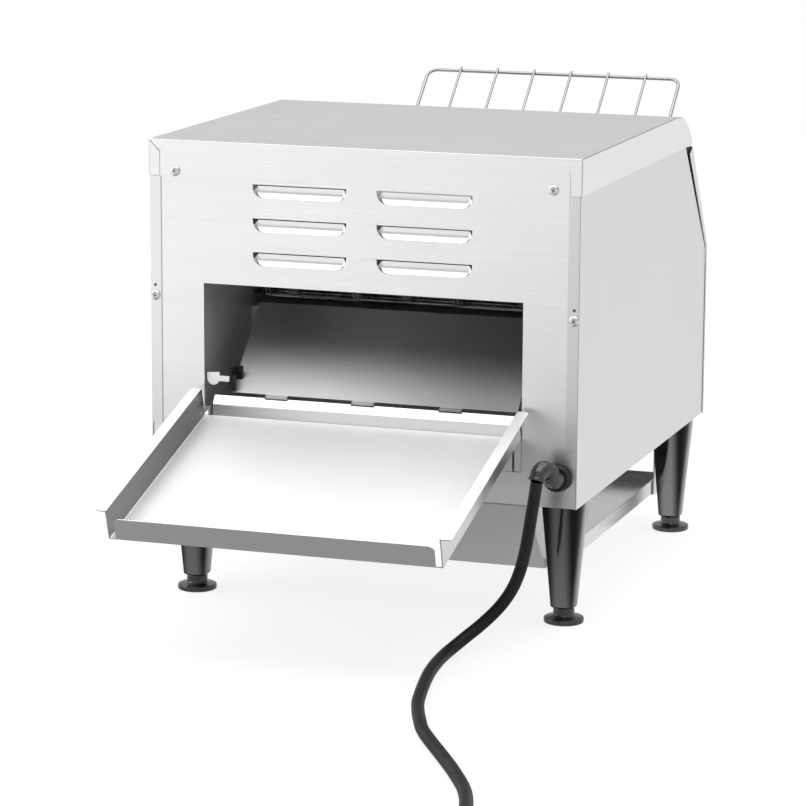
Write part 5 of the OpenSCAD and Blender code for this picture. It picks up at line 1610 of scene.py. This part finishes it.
def catmull(points, steps):
    """Points of a smooth curve through a route, steps to each of its stretches."""
    points = [Vector(p) for p in points]
    out = []
    for i in range(len(points) - 1):
        a, b = points[max(i - 1, 0)], points[i]
        c, d = points[i + 1], points[min(i + 2, len(points) - 1)]
        for k in range(steps):
            t = k / steps
            out.append(0.5 * (2 * b + (c - a) * t + (2 * a - 5 * b + 4 * c - d) * t * t
                              + (3 * b - a - 3 * c + d) * t ** 3))
    out.append(points[-1])
    return out


def coil_points():
    """Three and a quarter turns: round the outer lane, the inner lane, up, and out again."""
    points = []
    for turned in range(0, COIL_DEGREES + 1, 10):
        into = eased(turned, 290, 355)
        lift = eased(turned, 590, 655)
        back = eased(turned, 950, 1015)
        radius = COIL_OUTER + (COIL_INNER - COIL_OUTER) * (into - back)
        height = COIL_LOW + (COIL_HIGH - COIL_LOW) * lift
        a = math.radians(180 - turned)
        points.append((COIL_CENTRE[0] + radius * math.cos(a), COIL_CENTRE[1] + radius * math.sin(a),
                       height))
    return points


def lead_path():
    """The whole lead, from the strain relief to inside the plug, in the row frame."""
    x, y, z = PLUG_AT
    tail = [(x - 12, y - 0.4, z - 2), PLUG_AT, (x + 8, y, z)]
    return [at(*p) for p in catmull(list(CORD_ROUTE) + coil_points()[::3] + tail, 5)]


class TOASTER_OT_lead(bpy.types.Operator):
    """Gland, strain relief, mains lead and plug"""
    bl_idname = "toaster.lead"
    bl_label = "Mains lead"

    def execute(self, context):
        path = lead_path()
        tube = piece("mains_lead", sweep(path, LEAD_DIAMETER / 2, 16), "lead_rubber", ROOT,
                     ["power_cord", "cord_coil"], 60)
        relief = self.relief()
        plug = self.plug()
        self.gland(context.scene.toaster_lead.ribs)
        [relief] + plug
        return {"FINISHED"}

    def relief(self):
        """Bent rubber sleeve, stepped where it leaves the nut and ringed at its thin end."""
        points = [at(*p) for p in catmull(RELIEF_ROUTE, 8)]
        count = len(points)
        radii = []
        for i in range(count):
            t = i / (count - 1)
            rib = 0.35 if 0.3 < t < 0.85 and int(t * 40) % 3 == 0 else 0.0
            radii.append(RELIEF_THICK - RELIEF_TAPER * t + rib + (0.6 if t > 0.92 else 0.0))
        radii[-1] = RELIEF_END
        return piece("strain_relief_sleeve", sweep(points, radii, 28), "foot_moulding", ROOT,
                     ["strain_relief"], 40)

    def gland(self, ribs):
        """Threaded body, a knurled nut against the panel and a locknut behind it."""
        x, z = GLAND
        low = node_mm("cord_gland")[0].y
        bm = lathe([(5, low), (9, low), (9, REAR - 1), (11.2, REAR - 1), (11.6, REAR - 0.6),
                    (11.6, REAR + 2.2), (10.6, REAR + 2.8), (10.6, REAR + 7.6), (9.7, REAR + 8.8),
                    (5, REAR + 9), (5, low)], 48, (x, 0, z), "Y")
        merge(bm, lathe([(9, REAR - 7), (11.6, REAR - 7), (11.6, REAR - 2), (9, REAR - 2),
                         (9, REAR - 7)], 6, (x, 0, z), "Y"))
        piece("cord_gland_nut", bm, "black_moulding", ROOT, ["cord_gland"], 30)
        rib = about_zero(box_mesh((-0.55, 0.55), (3.0, 7.8), (10.2, 11.3), 0.35, 2))
        places = [(at(x, REAR, z), (0, 2 * math.pi * k / ribs, 0)) for k in range(ribs)]
        scatter("cord_gland_ribs", rib, places, "black_moulding", ROOT, (), 40)

    def plug(self):
        """Ringed grip that widens to a round head, and two round pins."""
        x, y, z = PLUG_AT
        body = lathe([(r, x + along) for r, along in PLUG_PROFILE], 48, (0, y, z), "X")
        moulding = piece("plug_moulding", body, "knob_moulding", ROOT, ["plug"], 30)
        face = x + PLUG_LONG
        tip = face + PIN_LONG
        outline = [(0, face), (2.4, face), (2.4, tip - 1.4), (1.7, tip), (0, tip)]
        pair = bmesh.new()
        for side in (-1, 1):
            merge(pair, lathe(outline, 24, (0, y + side * PINS_APART / 2, z), "X"))
        pins = piece("plug_pins", pair, "plated_wire", ROOT, (), 30)
        return [moulding, pins]


# ---------------------------------------------------------------- the add-on


class TOASTER_PT_panel(bpy.types.Panel):
    """Lists the toaster's pieces and settings"""
    bl_label = "Toaster"
    bl_idname = "TOASTER_PT_panel"
    bl_space_type = "VIEW_3D"
    bl_region_type = "UI"
    bl_category = "Toaster"

    def draw(self, context):
        for step in STEPS:
            self.layout.operator(step.bl_idname)
        for name in SETTINGS:
            box = self.layout.box()
            group = getattr(context.scene, name)
            for key in group.__annotations__:
                box.prop(group, key)


SETTINGS = {
    "toaster_sheet": ToasterSheet,
    "toaster_lead": ToasterLead,
    "toaster_stage": ToasterStage,
}
STEPS = (
    TOASTER_OT_stage,
    TOASTER_OT_lead,
    TOASTER_OT_casing,
    TOASTER_OT_delivery,
    TOASTER_OT_chamber,
    TOASTER_OT_drive,
    TOASTER_OT_rack,
    TOASTER_OT_legs,
    TOASTER_OT_controls,
)
CLASSES = (*SETTINGS.values(), *STEPS, TOASTER_PT_panel)


def register():
    for cls in CLASSES:
        bpy.utils.register_class(cls)
    for name, group in SETTINGS.items():
        setattr(bpy.types.Scene, name, PointerProperty(type=group))


def unregister():
    for name in SETTINGS:
        delattr(bpy.types.Scene, name)
    for cls in reversed(CLASSES):
        bpy.utils.unregister_class(cls)


def main():
    register()
    for step in STEPS:
        family, name = step.bl_idname.split(".")
        getattr(getattr(bpy.ops, family), name)()


if __name__ == "__main__":
    main()
